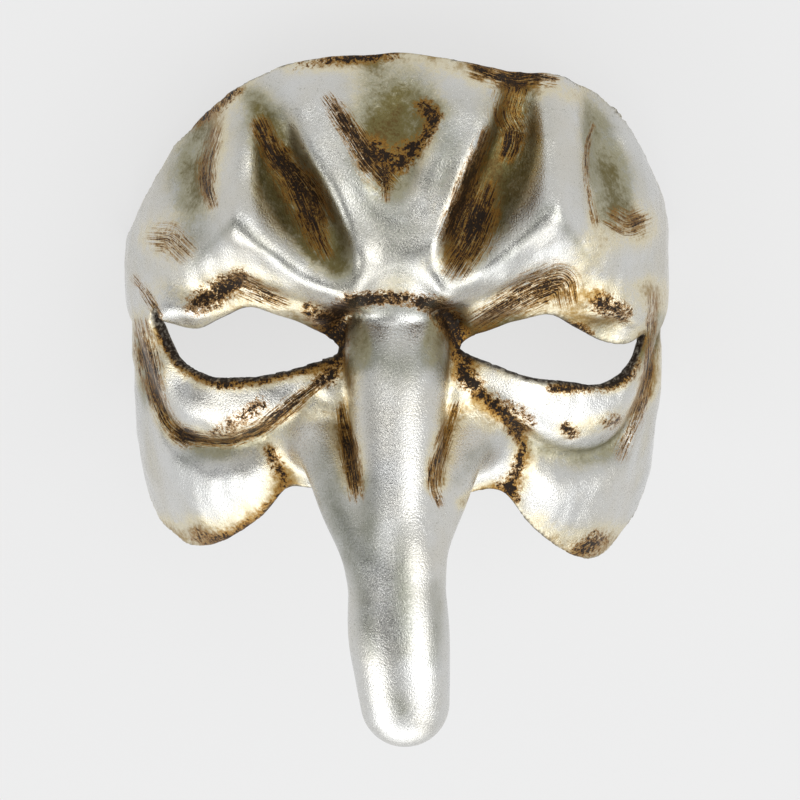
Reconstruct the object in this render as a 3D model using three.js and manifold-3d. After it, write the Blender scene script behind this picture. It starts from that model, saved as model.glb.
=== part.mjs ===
// Long-nosed half mask of moulded papier-mache, one hollow shell with two eye holes.
// Millimetres. The mask lies face up on its back rim: +X to the right of someone who looks at the
// face, +Y to the forehead, +Z out of the face. The origin is in the middle of the outline, on the
// plane that it lies on.
import * as THREE from 'three';
import { mergeVertices } from 'three/addons/utils/BufferGeometryUtils.js';
import Module from 'manifold-3d';

// Driving sizes of the face
const HALF_WIDTH = 88.5;
const FACE_DEPTH = 75;
const FOREHEAD_REACH = 90;
const CHIN_REACH = 170;
const WALL = 3;
const FACE_CENTRE_Y = 4.09;

// Roundness of the face: 2 is an ellipse, more is squarer
const ROUND_ACROSS_LOW = 2.4;
const ROUND_ACROSS_TOP = 2.05;
const ROUND_ACROSS_FROM_Y = -10;
const ROUND_ACROSS_TO_Y = 30;
const ROUND_OUT = 2.3;
const ROUND_TOP = 2.1;
const ROUND_LOW = 3.4;

// Hand-made unevenness: the top left is narrower and the right half is a little taller
const TOP_LEFT_LEAN = 0.085;
const LEAN_FULL_X = 60;
const RIGHT_TALLER = 0.10;
const TALLER_FROM_Y = -3;
const TALLER_FROM_X = 9;
const TALLER_OVER_X = 22.5;

// Relief of one half of the face, mirrored to the other. Each stroke runs along a smooth line of
// [across, up, height, half width]; edge 1 is a soft edge and more is a crisper one. A skewed
// stroke is that share wider to its left, looking along the line, and narrower to its right.
const STROKES = [
  { name: 'forehead', edge: 1, line: [[0, 66, 2.5, 20], [30, 64, 2.5, 20], [52, 58, 1.5, 18]] },
  { name: 'brow roll', edge: 1,
    line: [[48, 43, 7, 9], [38, 39, 7, 7.5], [27, 33, 7, 6.5], [15, 27, 7, 7]] },
  { name: 'outer brow', edge: 1, line: [[48, 43, 3, 9], [60, 34, 4, 9], [74, 24, 2.5, 8]] },
  { name: 'brow face', edge: 1, line: [[36, 26, 2, 7], [50, 30, 3, 9], [62, 22, 2, 8]] },
  { name: 'brow knob', edge: 1, line: [[9, 36, 5.5, 8], [0, 37, 5, 8]] },
  { name: 'peak ridge', edge: 1, line: [[48, 50, 2.5, 6.5], [46, 60, 3, 6.5], [45, 70, 0.5, 6]] },
  { name: 'furrow', edge: 1.6,
    line: [[38, 71, -1, 6], [35, 58, -8, 8.5], [28, 46, -9.5, 9.5], [22, 38, -6, 7.5]] },
  { name: 'inner crest', edge: 1, line: [[26, 66, 0.5, 5], [19, 52, 2.5, 5.5], [12, 41, 2.5, 5.5]] },
  { name: 'middle hollow', edge: 1.7, line: [[-1, 80, -3, 17], [-1, 68, -7, 13.5], [-1, 57, -4.5, 6.5]] },
  { name: 'temple hollow', edge: 1.3, skew: 0.4,
    line: [[56, 66, -1, 6], [60, 56, -5, 8], [62.5, 47, -5, 8], [68, 39, -2, 6]] },
  { name: 'temple rim', edge: 1, line: [[54, 69, 1, 6], [67, 56, 3, 7], [77, 41, 1, 6]] },
  { name: 'inner socket', edge: 1, line: [[14, 9, -13, 7], [22, 3, -11, 9], [32, 3, -6, 9]] },
  { name: 'socket', edge: 1, line: [[32, 7, -5, 9], [48, 7, -5.5, 9.5], [62, 2, -4, 9]] },
  { name: 'lid band', edge: 1,
    line: [[20, 15, -2.5, 5], [33, 19, -3, 5.5], [46, 21, -2.5, 5.5], [58, 17, -1.5, 5.5]] },
  { name: 'lid fold', edge: 1,
    line: [[54, 13, 1.5, 5], [63, 9, 4.5, 6], [74, 6, 4.5, 6], [83, -6, 2, 5]] },
  { name: 'eye bag', edge: 1,
    line: [[22, -8, 2, 6], [36, -15, 3.5, 7.5], [52, -22, 4.5, 9], [68, -24, 4.5, 8.5], [77, -16, 2.5, 6]] },
  { name: 'bag crease', edge: 1,
    line: [[26, -12, -2.5, 5.5], [38, -25, -3.5, 6], [50, -35, -4.2, 6], [64, -41, -5, 6],
      [74, -38, -4, 6], [81, -22, -2, 6]] },
  { name: 'cheek', edge: 1, line: [[44, -54, 5, 16], [58, -62, 4, 16]] },
  { name: 'side groove', edge: 1, line: [[84, -16, -2, 6], [82, -40, -2, 6], [80, -60, -1, 6]] },
];
const STROKE_STEPS = 8;
const SKEW_OVER = 1.5;

// Nose and its wings as smooth chains of balls: [x, y, z, radius]
const NOSE = [[0, 3, 65, 16], [0, -5, 78, 15.3], [0.3, -18, 94, 13.4], [0.3, -32, 108, 12.6],
  [0, -46, 120, 14.2], [0.5, -59, 129.5, 15.2], [1.6, -70, 135.5, 14.3], [2.4, -79, 138.5, 13.4]];
const NOSE_WING = [[26, -25, 62, 12.5], [20, -28, 82, 9.5], [13, -33, 102, 10], [5, -40, 116, 11]];
const NOSE_CORE = [[0, -24, 60, 20], [0, -29, 82, 15.5], [0, -36, 102, 13.5], [0, -46, 119, 13.5]];
const CHAIN_STEPS = 4;
const NOSE_BLEND = 5;
const WING_BLEND = 6;
const RIGHT_WING_SLIM = 3;
const SLIM_FULL_X = 12;
const SLIM_FROM_Z = 62;
const SLIM_FULL_Z = 82;

// Openings and the trimmed outline are cut towards a point behind the face, square to the wall.
// Their points are [x, y] where the cut passes the height CUT_LEVEL.
const CUT_POINT_Z = -30;
const CUT_LEVEL = 60;
const LEFT_EYE = [[-86, 7.5], [-80, 2], [-68, 1], [-56, 7.5], [-44, 13.2], [-33, 9], [-20, 2],
  [-16.5, -0.2], [-23, -3], [-36, -6.2], [-47, -9], [-60, -12.3], [-75, -12], [-86, -5]];
const RIGHT_EYE = [[18.5, 0.2], [31.6, 5.4], [46, 10], [57, 4], [70, -4], [84, -8.2], [97, -7.5],
  [91, -14.5], [79, -18], [66, -17], [50, -11.2], [32, -5.2]];
const OUTLINE = [[-300, -30], [-290, 5], [-195, 34], [-161, 58], [-154, 82], [-147, 97], [-136, 108],
  [-118, 111], [-98, 108], [-82, 111], [-66, 120], [-50, 124], [-30, 125], [-12, 129.6], [2, 131.5],
  [14, 128], [28, 120], [43, 116], [62, 121], [82, 122], [100, 125], [117, 132], [134, 134],
  [145, 123], [142, 106], [149, 93], [164, 82], [183, 62], [215, 34], [290, 5], [300, -30],
  [290, -100], [180, -140], [140, -128], [115, -110], [93, -101], [79, -96], [67, -88], [60, -81],
  [50, -69.5], [42, -58.7], [35.6, -50], [30, -42], [24, -40], [12, -42], [0, -42.5], [-12, -42],
  [-24, -39], [-30, -39], [-34, -44], [-39, -51], [-50, -64.4], [-62, -78.3], [-75, -91], [-94, -104],
  [-118, -122], [-150, -140], [-190, -140], [-290, -100]];
const NOSE_CLEAR_Z = 84;
const EYE_CUT_Z = [10, 90];

// Height of the back rim along the side of the face: [y, z]
const BACK_RIM = [[130, 0], [-30, 0], [-50, 6], [-65, 14], [-85, 24], [-130, 44]];

// Facet sizes, and the block of space that holds the face before it is trimmed
const OUTER_CELL = 5.5;
const INNER_CELL = 7.6;
const CELL_SHIFT = 0.12;
const OUTLINE_STEPS = 2;
const BELOW = 18;
const CHIN_END = -104;
const REACH = { x: 96, low: -112, high: 100, top: 160 };

// How a corner of a facet is drawn onto the surface
const SNAP_STEPS = 4;
const SNAP_PROBE = 0.05;
const SNAP_REACH = 0.45;
const LEAST_SLOPE = 0.1;

const clamp = (v, lo, hi) => Math.min(Math.max(v, lo), hi);
const ease = (a, b, v) => {
  const t = clamp((v - a) / (b - a), 0, 1);
  return t * t * (3 - 2 * t);
};

// Smooth line through rows of numbers (Catmull-Rom), with `steps` parts between two rows
function smoothLine(rows, steps, closed) {
  const count = rows.length;
  const row = (i) => (closed ? rows[(i + count) % count] : rows[clamp(i, 0, count - 1)]);
  const out = [];
  for (let i = 0; i < (closed ? count : count - 1); i++) {
    const [a, b, c, d] = [row(i - 1), row(i), row(i + 1), row(i + 2)];
    for (let k = 0; k < steps; k++) {
      const t = k / steps;
      out.push(b.map((_, j) => 0.5 * (2 * b[j] + (c[j] - a[j]) * t
        + (2 * a[j] - 5 * b[j] + 4 * c[j] - d[j]) * t * t
        + (3 * b[j] - a[j] - 3 * c[j] + d[j]) * t * t * t)));
    }
  }
  if (!closed) out.push(rows[count - 1]);
  return out;
}

const strokeLines = STROKES
  .map(({ line, edge, skew = 0 }) => ({ edge, skew, line: smoothLine(line, STROKE_STEPS, false) }));

// Height that the modelling adds to or takes from the plain dome at (x, y), kept for the last place
const lastRelief = { x: NaN, y: NaN, value: 0 };
function relief(x, y) {
  if (x !== lastRelief.x || y !== lastRelief.y) Object.assign(lastRelief, { x, y, value: reliefAt(x, y) });
  return lastRelief.value;
}

function reliefAt(x, y) {
  const across = Math.abs(x);
  const side = 0.5 + 0.5 * Math.tanh((x - TALLER_FROM_X) / TALLER_OVER_X);
  const up = TALLER_FROM_Y + (y - TALLER_FROM_Y) / (1 + RIGHT_TALLER * side);
  let sum = 0;
  for (const { line, edge, skew } of strokeLines) {
    let near = Infinity;
    let height = 0;
    let width = 1;
    for (let i = 0; i + 1 < line.length; i++) {
      const [x0, y0, h0, w0] = line[i];
      const [x1, y1, h1, w1] = line[i + 1];
      const dx = x1 - x0;
      const dy = y1 - y0;
      const s = clamp(((across - x0) * dx + (up - y0) * dy) / (dx * dx + dy * dy), 0, 1);
      const away = (across - x0 - s * dx) ** 2 + (up - y0 - s * dy) ** 2;
      if (away < near) {
        const side = ((up - y0) * dx - (across - x0) * dy) / Math.hypot(dx, dy);
        near = away;
        height = h0 + s * (h1 - h0);
        width = (w0 + s * (w1 - w0)) * (1 + skew * Math.tanh(side / SKEW_OVER));
      }
    }
    sum += height * Math.exp(-((near / (width * width)) ** edge));
  }
  return sum;
}

// Signed distance, nearly, to the plain dome of the face
function dome(xRaw, y, z) {
  const lean = TOP_LEFT_LEAN * ease(0, HALF_WIDTH / 2, y) * clamp(-xRaw / LEAN_FULL_X, 0, 1);
  const reachY = y > 0 ? FOREHEAD_REACH : CHIN_REACH;
  const powY = y > 0 ? ROUND_TOP : ROUND_LOW;
  const powX = ROUND_ACROSS_LOW
    + (ROUND_ACROSS_TOP - ROUND_ACROSS_LOW) * ease(ROUND_ACROSS_FROM_Y, ROUND_ACROSS_TO_Y, y);
  const ux = Math.abs(xRaw * (1 + lean)) / HALF_WIDTH;
  const uy = Math.abs(y) / reachY;
  const uz = Math.abs(z) / FACE_DEPTH;
  const sum = Math.max(ux ** powX + uy ** powY + uz ** ROUND_OUT, 1e-6);
  const slope = Math.hypot(
    (powX * ux ** (powX - 1)) / HALF_WIDTH,
    (powY * uy ** (powY - 1)) / reachY,
    (ROUND_OUT * uz ** (ROUND_OUT - 1)) / FACE_DEPTH,
  );
  const size = sum ** (1 / ROUND_OUT);
  return (size - 1) / Math.max((slope * size) / (sum * ROUND_OUT), 1e-3);
}

// Distance to a chain of balls joined by cones
function chainDistance(x, y, z, balls) {
  let best = Infinity;
  for (let i = 0; i + 1 < balls.length; i++) {
    const [ax, ay, az, ar] = balls[i];
    const [bx, by, bz, br] = balls[i + 1];
    const [dx, dy, dz] = [bx - ax, by - ay, bz - az];
    const along = (x - ax) * dx + (y - ay) * dy + (z - az) * dz;
    const s = clamp(along / (dx * dx + dy * dy + dz * dz), 0, 1);
    const away = Math.hypot(x - ax - s * dx, y - ay - s * dy, z - az - s * dz);
    best = Math.min(best, away - ar - s * (br - ar));
  }
  return best;
}

function blend(a, b, width) {
  const h = Math.max(width - Math.abs(a - b), 0) / width;
  return Math.min(a, b) - h * h * width * 0.25;
}

const noseBalls = smoothLine(NOSE, CHAIN_STEPS, false);
const wingBalls = smoothLine(NOSE_WING, CHAIN_STEPS, false);
const coreBalls = smoothLine(NOSE_CORE, CHAIN_STEPS, false);

// Below zero inside the whole face, before it is hollowed and trimmed
function face(x, y, z) {
  const skin = dome(x, y, z) - relief(x, y);
  const slimmer = RIGHT_WING_SLIM * ease(0, SLIM_FULL_X, x) * ease(SLIM_FROM_Z, SLIM_FULL_Z, z);
  const wing = chainDistance(Math.abs(x) + slimmer, y, z, wingBalls);
  const sides = blend(wing, chainDistance(x, y, z, coreBalls), WING_BLEND);
  return blend(blend(skin, sides, WING_BLEND), chainDistance(x, y, z, noseBalls), NOSE_BLEND);
}

// The corners, edges and faces of one cell. A corner's bits say which way it lies from the first.
const CORNERS = [0, 1, 2, 3, 4, 5, 6, 7].map((c) => [c & 1, (c >> 1) & 1, (c >> 2) & 1]);
const EDGES = [0, 1, 2].flatMap((axis) => CORNERS.map((_, c) => [c, c | (1 << axis), axis])
  .filter(([c, d]) => c !== d));
const edgeOf = (corner, axis) => EDGES.findIndex(([c, , a]) => c === corner && a === axis);
const FACES = [0, 1, 2].flatMap((axis) => [0, 1].map((end) => {
  const [u, w] = [1 << ((axis + 1) % 3), 1 << ((axis + 2) % 3)];
  const first = end << axis;
  return [first, first + u, first + u + w, first + w];
}));

// Groups the crossed edges of a cell into the separate patches of surface that pass through it
function patches(values) {
  const group = EDGES.map(([a, b], i) => (values[a] < 0 === values[b] < 0 ? -1 : i));
  const join = (i, j) => {
    const [from, to] = [group[i], group[j]];
    group.forEach((g, n) => { if (g === from) group[n] = to; });
  };
  for (const face of FACES) {
    const crossed = face.map((c, n) => {
      const [low, high] = [Math.min(c, face[(n + 1) % 4]), Math.max(c, face[(n + 1) % 4])];
      const edge = edgeOf(low, Math.log2(high - low));
      return group[edge] < 0 ? -1 : edge;
    });
    const found = crossed.filter((e) => e >= 0);
    if (found.length === 2) join(found[0], found[1]);
    if (found.length === 4) {
      for (let n = 0; n < 4; n++) if (values[face[n]] < 0) join(crossed[n], crossed[(n + 3) % 4]);
    }
  }
  return group;
}

// Closed mesh of the surface field = 0: one vertex for each patch in each cell that it crosses
function surfaceMesh(field, cell) {
  const reach = [2 * REACH.x, REACH.high - REACH.low, REACH.top + BELOW + cell];
  const [nx, ny, nz] = reach.map((s) => Math.ceil(s / cell) + 2);
  const start = [-REACH.x, REACH.low, -BELOW - cell].map((s) => s - CELL_SHIFT * cell);
  const bounded = (x, y, z) => Math.max(field(x, y, z), -BELOW - z, CHIN_END - y);
  const at = (i, j, k) => i + nx * (j + ny * k);
  const values = new Float64Array(nx * ny * nz);
  for (let j = 0; j < ny; j++) {
    for (let i = 0; i < nx; i++) {
      for (let k = 0; k < nz; k++) {
        const place = [i, j, k].map((n, axis) => start[axis] + n * cell);
        values[at(i, j, k)] = bounded(...place);
      }
    }
  }
  const points = [];
  const vertexOf = new Map();
  for (let k = 0; k + 1 < nz; k++) {
    for (let j = 0; j + 1 < ny; j++) {
      for (let i = 0; i + 1 < nx; i++) {
        const v = CORNERS.map(([a, b, c]) => values[at(i + a, j + b, k + c)]);
        if (v.every((n) => n < 0) || v.every((n) => n >= 0)) continue;
        const group = patches(v);
        const made = new Map();
        group.forEach((g, e) => {
          if (g < 0) return;
          const [a, b] = EDGES[e];
          const t = v[a] / (v[a] - v[b]);
          const cross = CORNERS[a].map((c, n) => c + t * (CORNERS[b][n] - c));
          if (!made.has(g)) made.set(g, []);
          made.get(g).push(cross);
        });
        for (const [g, crossings] of made) {
          const middle = [i, j, k].map((n, axis) => start[axis]
            + (n + crossings.reduce((sum, c) => sum + c[axis], 0) / crossings.length) * cell);
          made.set(g, points.length);
          points.push(snapped(bounded, middle, cell));
        }
        vertexOf.set(at(i, j, k), group.map((g) => (g < 0 ? -1 : made.get(g))));
      }
    }
  }
  const triangles = [];
  const steps = [1, nx, nx * ny];
  for (let k = 1; k + 1 < nz; k++) {
    for (let j = 1; j + 1 < ny; j++) {
      for (let i = 1; i + 1 < nx; i++) {
        const here = at(i, j, k);
        for (let axis = 0; axis < 3; axis++) {
          if (values[here] < 0 === values[here + steps[axis]] < 0) continue;
          const [u, w] = [(axis + 1) % 3, (axis + 2) % 3];
          const quad = [[1, 1], [0, 1], [0, 0], [1, 0]].map(([a, b]) => vertexOf
            .get(here - a * steps[u] - b * steps[w])[edgeOf((a << u) + (b << w), axis)]);
          if (values[here] >= 0) quad.reverse();
          const [p, q, r, s] = quad;
          const even = span(points[p], points[r]) <= span(points[q], points[s]);
          triangles.push(...(even ? [p, q, r, p, r, s] : [p, q, s, q, r, s]));
        }
      }
    }
  }
  return solidFrom(points.flat(), triangles);
}

const span = (a, b) => Math.hypot(a[0] - b[0], a[1] - b[1], a[2] - b[2]);

// Moves a point onto the surface along the field's slope, by less than half a cell
function snapped(field, point, cell) {
  let p = [...point];
  for (let n = 0; n < SNAP_STEPS; n++) {
    const value = field(...p);
    const slope = [0, 1, 2].map((axis) => {
      const q = [...p];
      q[axis] += SNAP_PROBE;
      return (field(...q) - value) / SNAP_PROBE;
    });
    const square = slope.reduce((sum, s) => sum + s * s, 0);
    p = p.map((v, axis) => v - (value * slope[axis]) / Math.max(square, LEAST_SLOPE));
  }
  const reach = cell * SNAP_REACH;
  return p.map((v, axis) => clamp(v, point[axis] - reach, point[axis] + reach));
}

const wasm = await Module();
wasm.setup();

function solidFrom(positions, triangles) {
  return new wasm.Manifold(new wasm.Mesh({
    numProp: 3,
    vertProperties: new Float32Array(positions),
    triVerts: new Uint32Array(triangles),
  }));
}

function solidFromGeometry(geometry) {
  const bare = geometry.index ? geometry.toNonIndexed() : geometry.clone();
  bare.deleteAttribute('normal');
  bare.deleteAttribute('uv');
  const merged = mergeVertices(bare, 1e-4);
  return solidFrom(merged.attributes.position.array, merged.index.array);
}

// Solid between two heights whose walls run to the point behind the face
function coneCutter(outline, fromZ, toZ) {
  const points = smoothLine(outline, OUTLINE_STEPS, true).map(([x, y]) => new THREE.Vector2(x, y));
  const geometry = new THREE.ExtrudeGeometry(new THREE.Shape(points),
    { depth: toZ - fromZ, bevelEnabled: false, steps: 1 });
  const position = geometry.attributes.position;
  for (let i = 0; i < position.count; i++) {
    const z = position.getZ(i) + fromZ;
    const scale = (z - CUT_POINT_Z) / (CUT_LEVEL - CUT_POINT_Z);
    position.setXYZ(i, position.getX(i) * scale, position.getY(i) * scale, z);
  }
  return solidFromGeometry(geometry);
}

function box(width, depth, fromZ, toZ) {
  const geometry = new THREE.BoxGeometry(width, depth, toZ - fromZ);
  geometry.translate(0, 0, (fromZ + toZ) / 2);
  return solidFromGeometry(geometry);
}

// Everything behind the back rim, as a side profile drawn across the whole width
function behindRim() {
  const deep = -2 * BELOW;
  const profile = smoothLine(BACK_RIM.slice(1), OUTLINE_STEPS, false);
  const points = [BACK_RIM[0], ...profile, [BACK_RIM.at(-1)[0], deep], [BACK_RIM[0][0], deep]];
  const shape = new THREE.Shape(points.map(([y, z]) => new THREE.Vector2(y, z)));
  const geometry = new THREE.ExtrudeGeometry(shape,
    { depth: 4 * HALF_WIDTH, bevelEnabled: false, steps: 1 });
  geometry.translate(0, 0, -2 * HALF_WIDTH);
  geometry.applyMatrix4(new THREE.Matrix4().makeBasis(
    new THREE.Vector3(0, 1, 0), new THREE.Vector3(0, 0, 1), new THREE.Vector3(1, 0, 0)));
  return solidFromGeometry(geometry);
}

function maskSolid() {
  const outer = surfaceMesh(face, OUTER_CELL);
  const hollow = surfaceMesh((x, y, z) => face(x, y, z) + WALL, INNER_CELL);
  const trimmedOff = box(8 * HALF_WIDTH, 8 * HALF_WIDTH, -BELOW, NOSE_CLEAR_Z)
    .subtract(coneCutter(OUTLINE, CUT_POINT_Z + 4, NOSE_CLEAR_Z + BELOW));
  return outer.subtract(hollow)
    .subtract(behindRim())
    .subtract(trimmedOff)
    .subtract(coneCutter(LEFT_EYE, ...EYE_CUT_Z))
    .subtract(coneCutter(RIGHT_EYE, ...EYE_CUT_Z));
}

function meshFrom(solid, name, material) {
  const { vertProperties, triVerts } = solid.getMesh();
  const geometry = new THREE.BufferGeometry();
  geometry.setAttribute('position', new THREE.BufferAttribute(vertProperties, 3));
  geometry.setIndex(new THREE.BufferAttribute(triVerts, 1));
  geometry.computeVertexNormals();
  const mesh = new THREE.Mesh(geometry, material);
  mesh.name = name;
  return mesh;
}

const silverLeaf = new THREE.MeshStandardMaterial({
  color: 0xb9b6a8,
  roughness: 0.35,
  metalness: 0.9,
});

const maskShell = meshFrom(maskSolid(), 'mask_shell', silverLeaf);
maskShell.position.set(0, FACE_CENTRE_Y, 0);

const group = new THREE.Group();
group.add(maskShell);

export default group;
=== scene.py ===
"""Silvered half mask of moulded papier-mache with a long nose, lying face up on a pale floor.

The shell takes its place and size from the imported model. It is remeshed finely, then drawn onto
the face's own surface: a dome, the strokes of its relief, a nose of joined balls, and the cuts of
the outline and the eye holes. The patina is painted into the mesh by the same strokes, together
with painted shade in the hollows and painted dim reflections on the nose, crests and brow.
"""

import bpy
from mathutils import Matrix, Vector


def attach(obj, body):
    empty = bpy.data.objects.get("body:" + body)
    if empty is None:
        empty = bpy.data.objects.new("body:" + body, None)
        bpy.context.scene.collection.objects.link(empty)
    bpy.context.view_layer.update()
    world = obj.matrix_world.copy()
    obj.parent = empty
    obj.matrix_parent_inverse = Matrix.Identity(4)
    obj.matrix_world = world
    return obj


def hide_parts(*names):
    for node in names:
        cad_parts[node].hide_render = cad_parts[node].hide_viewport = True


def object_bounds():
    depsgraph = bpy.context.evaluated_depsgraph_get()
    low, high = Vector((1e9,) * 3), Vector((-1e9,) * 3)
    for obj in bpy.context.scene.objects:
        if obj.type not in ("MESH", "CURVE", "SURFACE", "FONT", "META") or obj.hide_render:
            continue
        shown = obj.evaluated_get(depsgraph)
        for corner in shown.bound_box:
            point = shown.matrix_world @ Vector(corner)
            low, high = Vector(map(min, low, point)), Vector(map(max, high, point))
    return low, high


bl_info = {
    "name": "Silvered Half Mask",
    "version": (1, 0, 0),
    "blender": (4, 5, 0),
    "location": "View3D > Sidebar > Mask",
    "description": "Builds a papier-mache half mask in silver leaf with a brown patina, and its studio",
    "category": "Object",
}

import math
import bpy
import numpy as np
from bpy.props import FloatProperty, FloatVectorProperty, PointerProperty
from mathutils import Matrix, Vector

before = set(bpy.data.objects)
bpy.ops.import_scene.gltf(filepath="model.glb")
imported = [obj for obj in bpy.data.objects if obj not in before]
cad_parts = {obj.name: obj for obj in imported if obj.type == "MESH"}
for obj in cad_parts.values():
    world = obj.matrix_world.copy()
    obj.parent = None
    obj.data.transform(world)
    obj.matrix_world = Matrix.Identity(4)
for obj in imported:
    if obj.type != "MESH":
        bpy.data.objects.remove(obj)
CAD_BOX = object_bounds()
NODE = "mask_shell"
MM = 0.001
MERGE_DISTANCE = 0.01 * MM

# Driving sizes of the face in millimetres, with y and z from the middle of the face
FACE_CENTRE_Y = 4.09
HALF_WIDTH = 88.5
FACE_DEPTH = 75.0
FOREHEAD_REACH = 90.0
CHIN_REACH = 170.0
ROUND_ACROSS_LOW = 2.4
ROUND_ACROSS_TOP = 2.05
ROUND_ACROSS_Y = (-10.0, 30.0)
ROUND_OUT = 2.3
ROUND_TOP = 2.1
ROUND_LOW = 3.4
TOP_LEFT_LEAN = 0.085
LEAN_FULL_X = 60.0
RIGHT_TALLER = 0.10
TALLER_FROM_Y = -3.0
TALLER_FROM_X = 9.0
TALLER_OVER_X = 22.5

# Relief of one half of the face, mirrored to the other: edge power, how much wider the stroke is on
# its left than on its right, then its line as (across, up, height, half width)
RELIEF = {
    "forehead": (1, 0, [(0, 66, 2.5, 20), (30, 64, 2.5, 20), (52, 58, 1.5, 18)]),
    "brow roll": (1, 0, [(48, 43, 7, 9), (38, 39, 7, 7.5), (27, 33, 7, 6.5), (15, 27, 7, 7)]),
    "outer brow": (1, 0, [(48, 43, 3, 9), (60, 34, 4, 9), (74, 24, 2.5, 8)]),
    "brow face": (1, 0, [(36, 26, 2, 7), (50, 30, 3, 9), (62, 22, 2, 8)]),
    "brow knob": (1, 0, [(9, 36, 5.5, 8), (0, 37, 5, 8)]),
    "peak ridge": (1, 0, [(48, 50, 2.5, 6.5), (46, 60, 3, 6.5), (45, 70, 0.5, 6)]),
    "furrow": (1.6, 0, [(38, 71, -1, 6), (35, 58, -8, 8.5), (28, 46, -9.5, 9.5), (22, 38, -6, 7.5)]),
    "inner crest": (1, 0, [(26, 66, 0.5, 4), (19, 52, 2.5, 4.5), (12, 41, 2.5, 4.5)]),
    "middle hollow": (1.7, 0, [(-1, 80, -3, 17), (-1, 68, -7, 13.5), (-1, 57, -4.5, 6.5)]),
    "temple hollow": (1.3, 0.4, [(56, 66, -1, 5), (60, 56, -5, 7), (62.5, 47, -5, 7), (68, 39, -2, 5)]),
    "temple rim": (1, 0, [(54, 69, 1, 6), (67, 56, 3, 7), (77, 41, 1, 6)]),
    "inner socket": (1, 0, [(14, 9, -13, 7), (22, 3, -11, 9), (32, 3, -6, 9)]),
    "socket": (1, 0, [(32, 7, -5, 9), (48, 7, -5.5, 9.5), (62, 2, -4, 9)]),
    "lid band": (1, 0, [(20, 15, -2.5, 4), (33, 19, -3, 4.5), (46, 21, -2.5, 4.5), (58, 17, -1.5, 4.5)]),
    "lid fold": (1, 0, [(54, 13, 1.5, 5), (63, 9, 4.5, 6), (74, 6, 4.5, 6), (83, -6, 2, 5)]),
    "eye bag": (1, 0, [(22, -8, 2, 6), (36, -15, 3.5, 7.5), (52, -22, 4.5, 9), (68, -24, 4.5, 8.5),
                       (77, -16, 2.5, 6)]),
    "bag crease": (1, 0, [(26, -12, -2.5, 4), (38, -25, -3.5, 4), (50, -35, -4.5, 4.5), (64, -41, -5.5, 4.5),
                          (74, -38, -4.5, 4.5), (81, -22, -2, 4.5)]),
    "cheek": (1, 0, [(44, -54, 5, 16), (58, -62, 4, 16)]),
    "side groove": (1, 0, [(84, -16, -2, 4), (82, -40, -2, 4), (80, -60, -1, 4)]),
}
LINE_STEPS = 8
RELIEF_SOFT = 1.5

# Lumps left by hand in the papier-mache: (wave length, height)
LUMPS = [(46, 0.16), (37, 0.14), (31, 0.14), (26, 0.12), (22, 0.10), (19, 0.09), (15.5, 0.07), (13, 0.06),
         (11, 0.05), (9.2, 0.045), (7.9, 0.035), (6.7, 0.03), (5.8, 0.025), (5.1, 0.02)]
GOLDEN_TURN = 2.39996
LUMP_TILT_STEP = 1.7
LUMP_SHIFT_STEP = 2.3

# Nose and its wings as smooth chains of balls: (x, y, z, radius)
NOSE = [(0, 3, 65, 16), (0, -5, 78, 15.3), (0.3, -18, 94, 13.4), (0.3, -32, 108, 12.6), (0, -46, 120, 14.2),
        (0.5, -59, 129.5, 15.2), (1.6, -70, 135.5, 14.3), (2.4, -79, 138.5, 13.4)]
NOSE_WING = [(26, -25, 62, 12.5), (20, -28, 82, 9.5), (13, -33, 102, 10), (5, -40, 116, 11)]
NOSE_CORE = [(0, -24, 60, 20), (0, -29, 82, 15.5), (0, -36, 102, 13.5), (0, -46, 119, 13.5)]
CHAIN_STEPS = 12
CHAIN_NEAR = (58.0, 32.0, 36.0)
NOSE_BLEND = 2.6
WING_BLEND = 6.0
RIGHT_WING_SLIM = 3.0
SLIM_OVER_X = (0.0, 12.0)
SLIM_OVER_Z = (62.0, 82.0)

# Cuts run towards a point behind the face. Their points are (x, y) at the height CUT_LEVEL.
CUT_POINT_Z = -30.0
CUT_LEVEL = 60.0
NOSE_CLEAR_Z = 84.0
LEFT_EYE = [(-86, 7.5), (-80, 2), (-68, 1), (-56, 7.5), (-44, 13.2), (-33, 9), (-20, 2), (-16.5, -0.2),
            (-23, -3), (-36, -6.2), (-47, -9), (-60, -12.3), (-75, -12), (-86, -5)]
RIGHT_EYE = [(18.5, 0.2), (31.6, 5.4), (46, 10), (57, 4), (70, -4), (84, -8.2), (97, -7.5), (91, -14.5),
             (79, -18), (66, -17), (50, -11.2), (32, -5.2)]
OUTLINE = [(-300, -30), (-290, 5), (-195, 34), (-161, 58), (-154, 82), (-147, 97), (-136, 108),
           (-118, 111), (-98, 108), (-82, 111), (-66, 120), (-50, 124), (-30, 125), (-12, 129.6), (2, 131.5),
           (14, 128), (28, 120), (43, 116), (62, 121), (82, 122), (100, 125), (117, 132), (134, 134),
           (145, 123), (142, 106), (149, 93), (164, 82), (183, 62), (215, 34), (290, 5), (300, -30),
           (290, -100), (180, -140), (140, -128), (115, -110), (93, -101), (79, -96), (67, -88), (60, -81),
           (50, -69.5), (42, -58.7), (35.6, -50), (30, -42), (24, -40), (12, -42), (0, -42.5), (-12, -42),
           (-24, -39), (-30, -39), (-34, -44), (-39, -51), (-50, -64.4), (-62, -78.3), (-75, -91),
           (-94, -104), (-118, -122), (-150, -140), (-190, -140), (-290, -100)]
OUTLINE_STEPS = 5
BACK_RIM = [(-130, 44), (-85, 24), (-65, 14), (-50, 6), (-30, 0), (60, 0), (130, 0)]
FAR_INSIDE = -9.0
SIDE_SURE = 0.45

# Grids that the relief and the cuts are read from: reach across, lowest, highest and step
RELIEF_GRID = (106, -126, 116, 0.6)
EYE_GRID = (120, -40, 40, 0.5)
OUTLINE_GRID = (312, -160, 150, 1.0)
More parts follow.
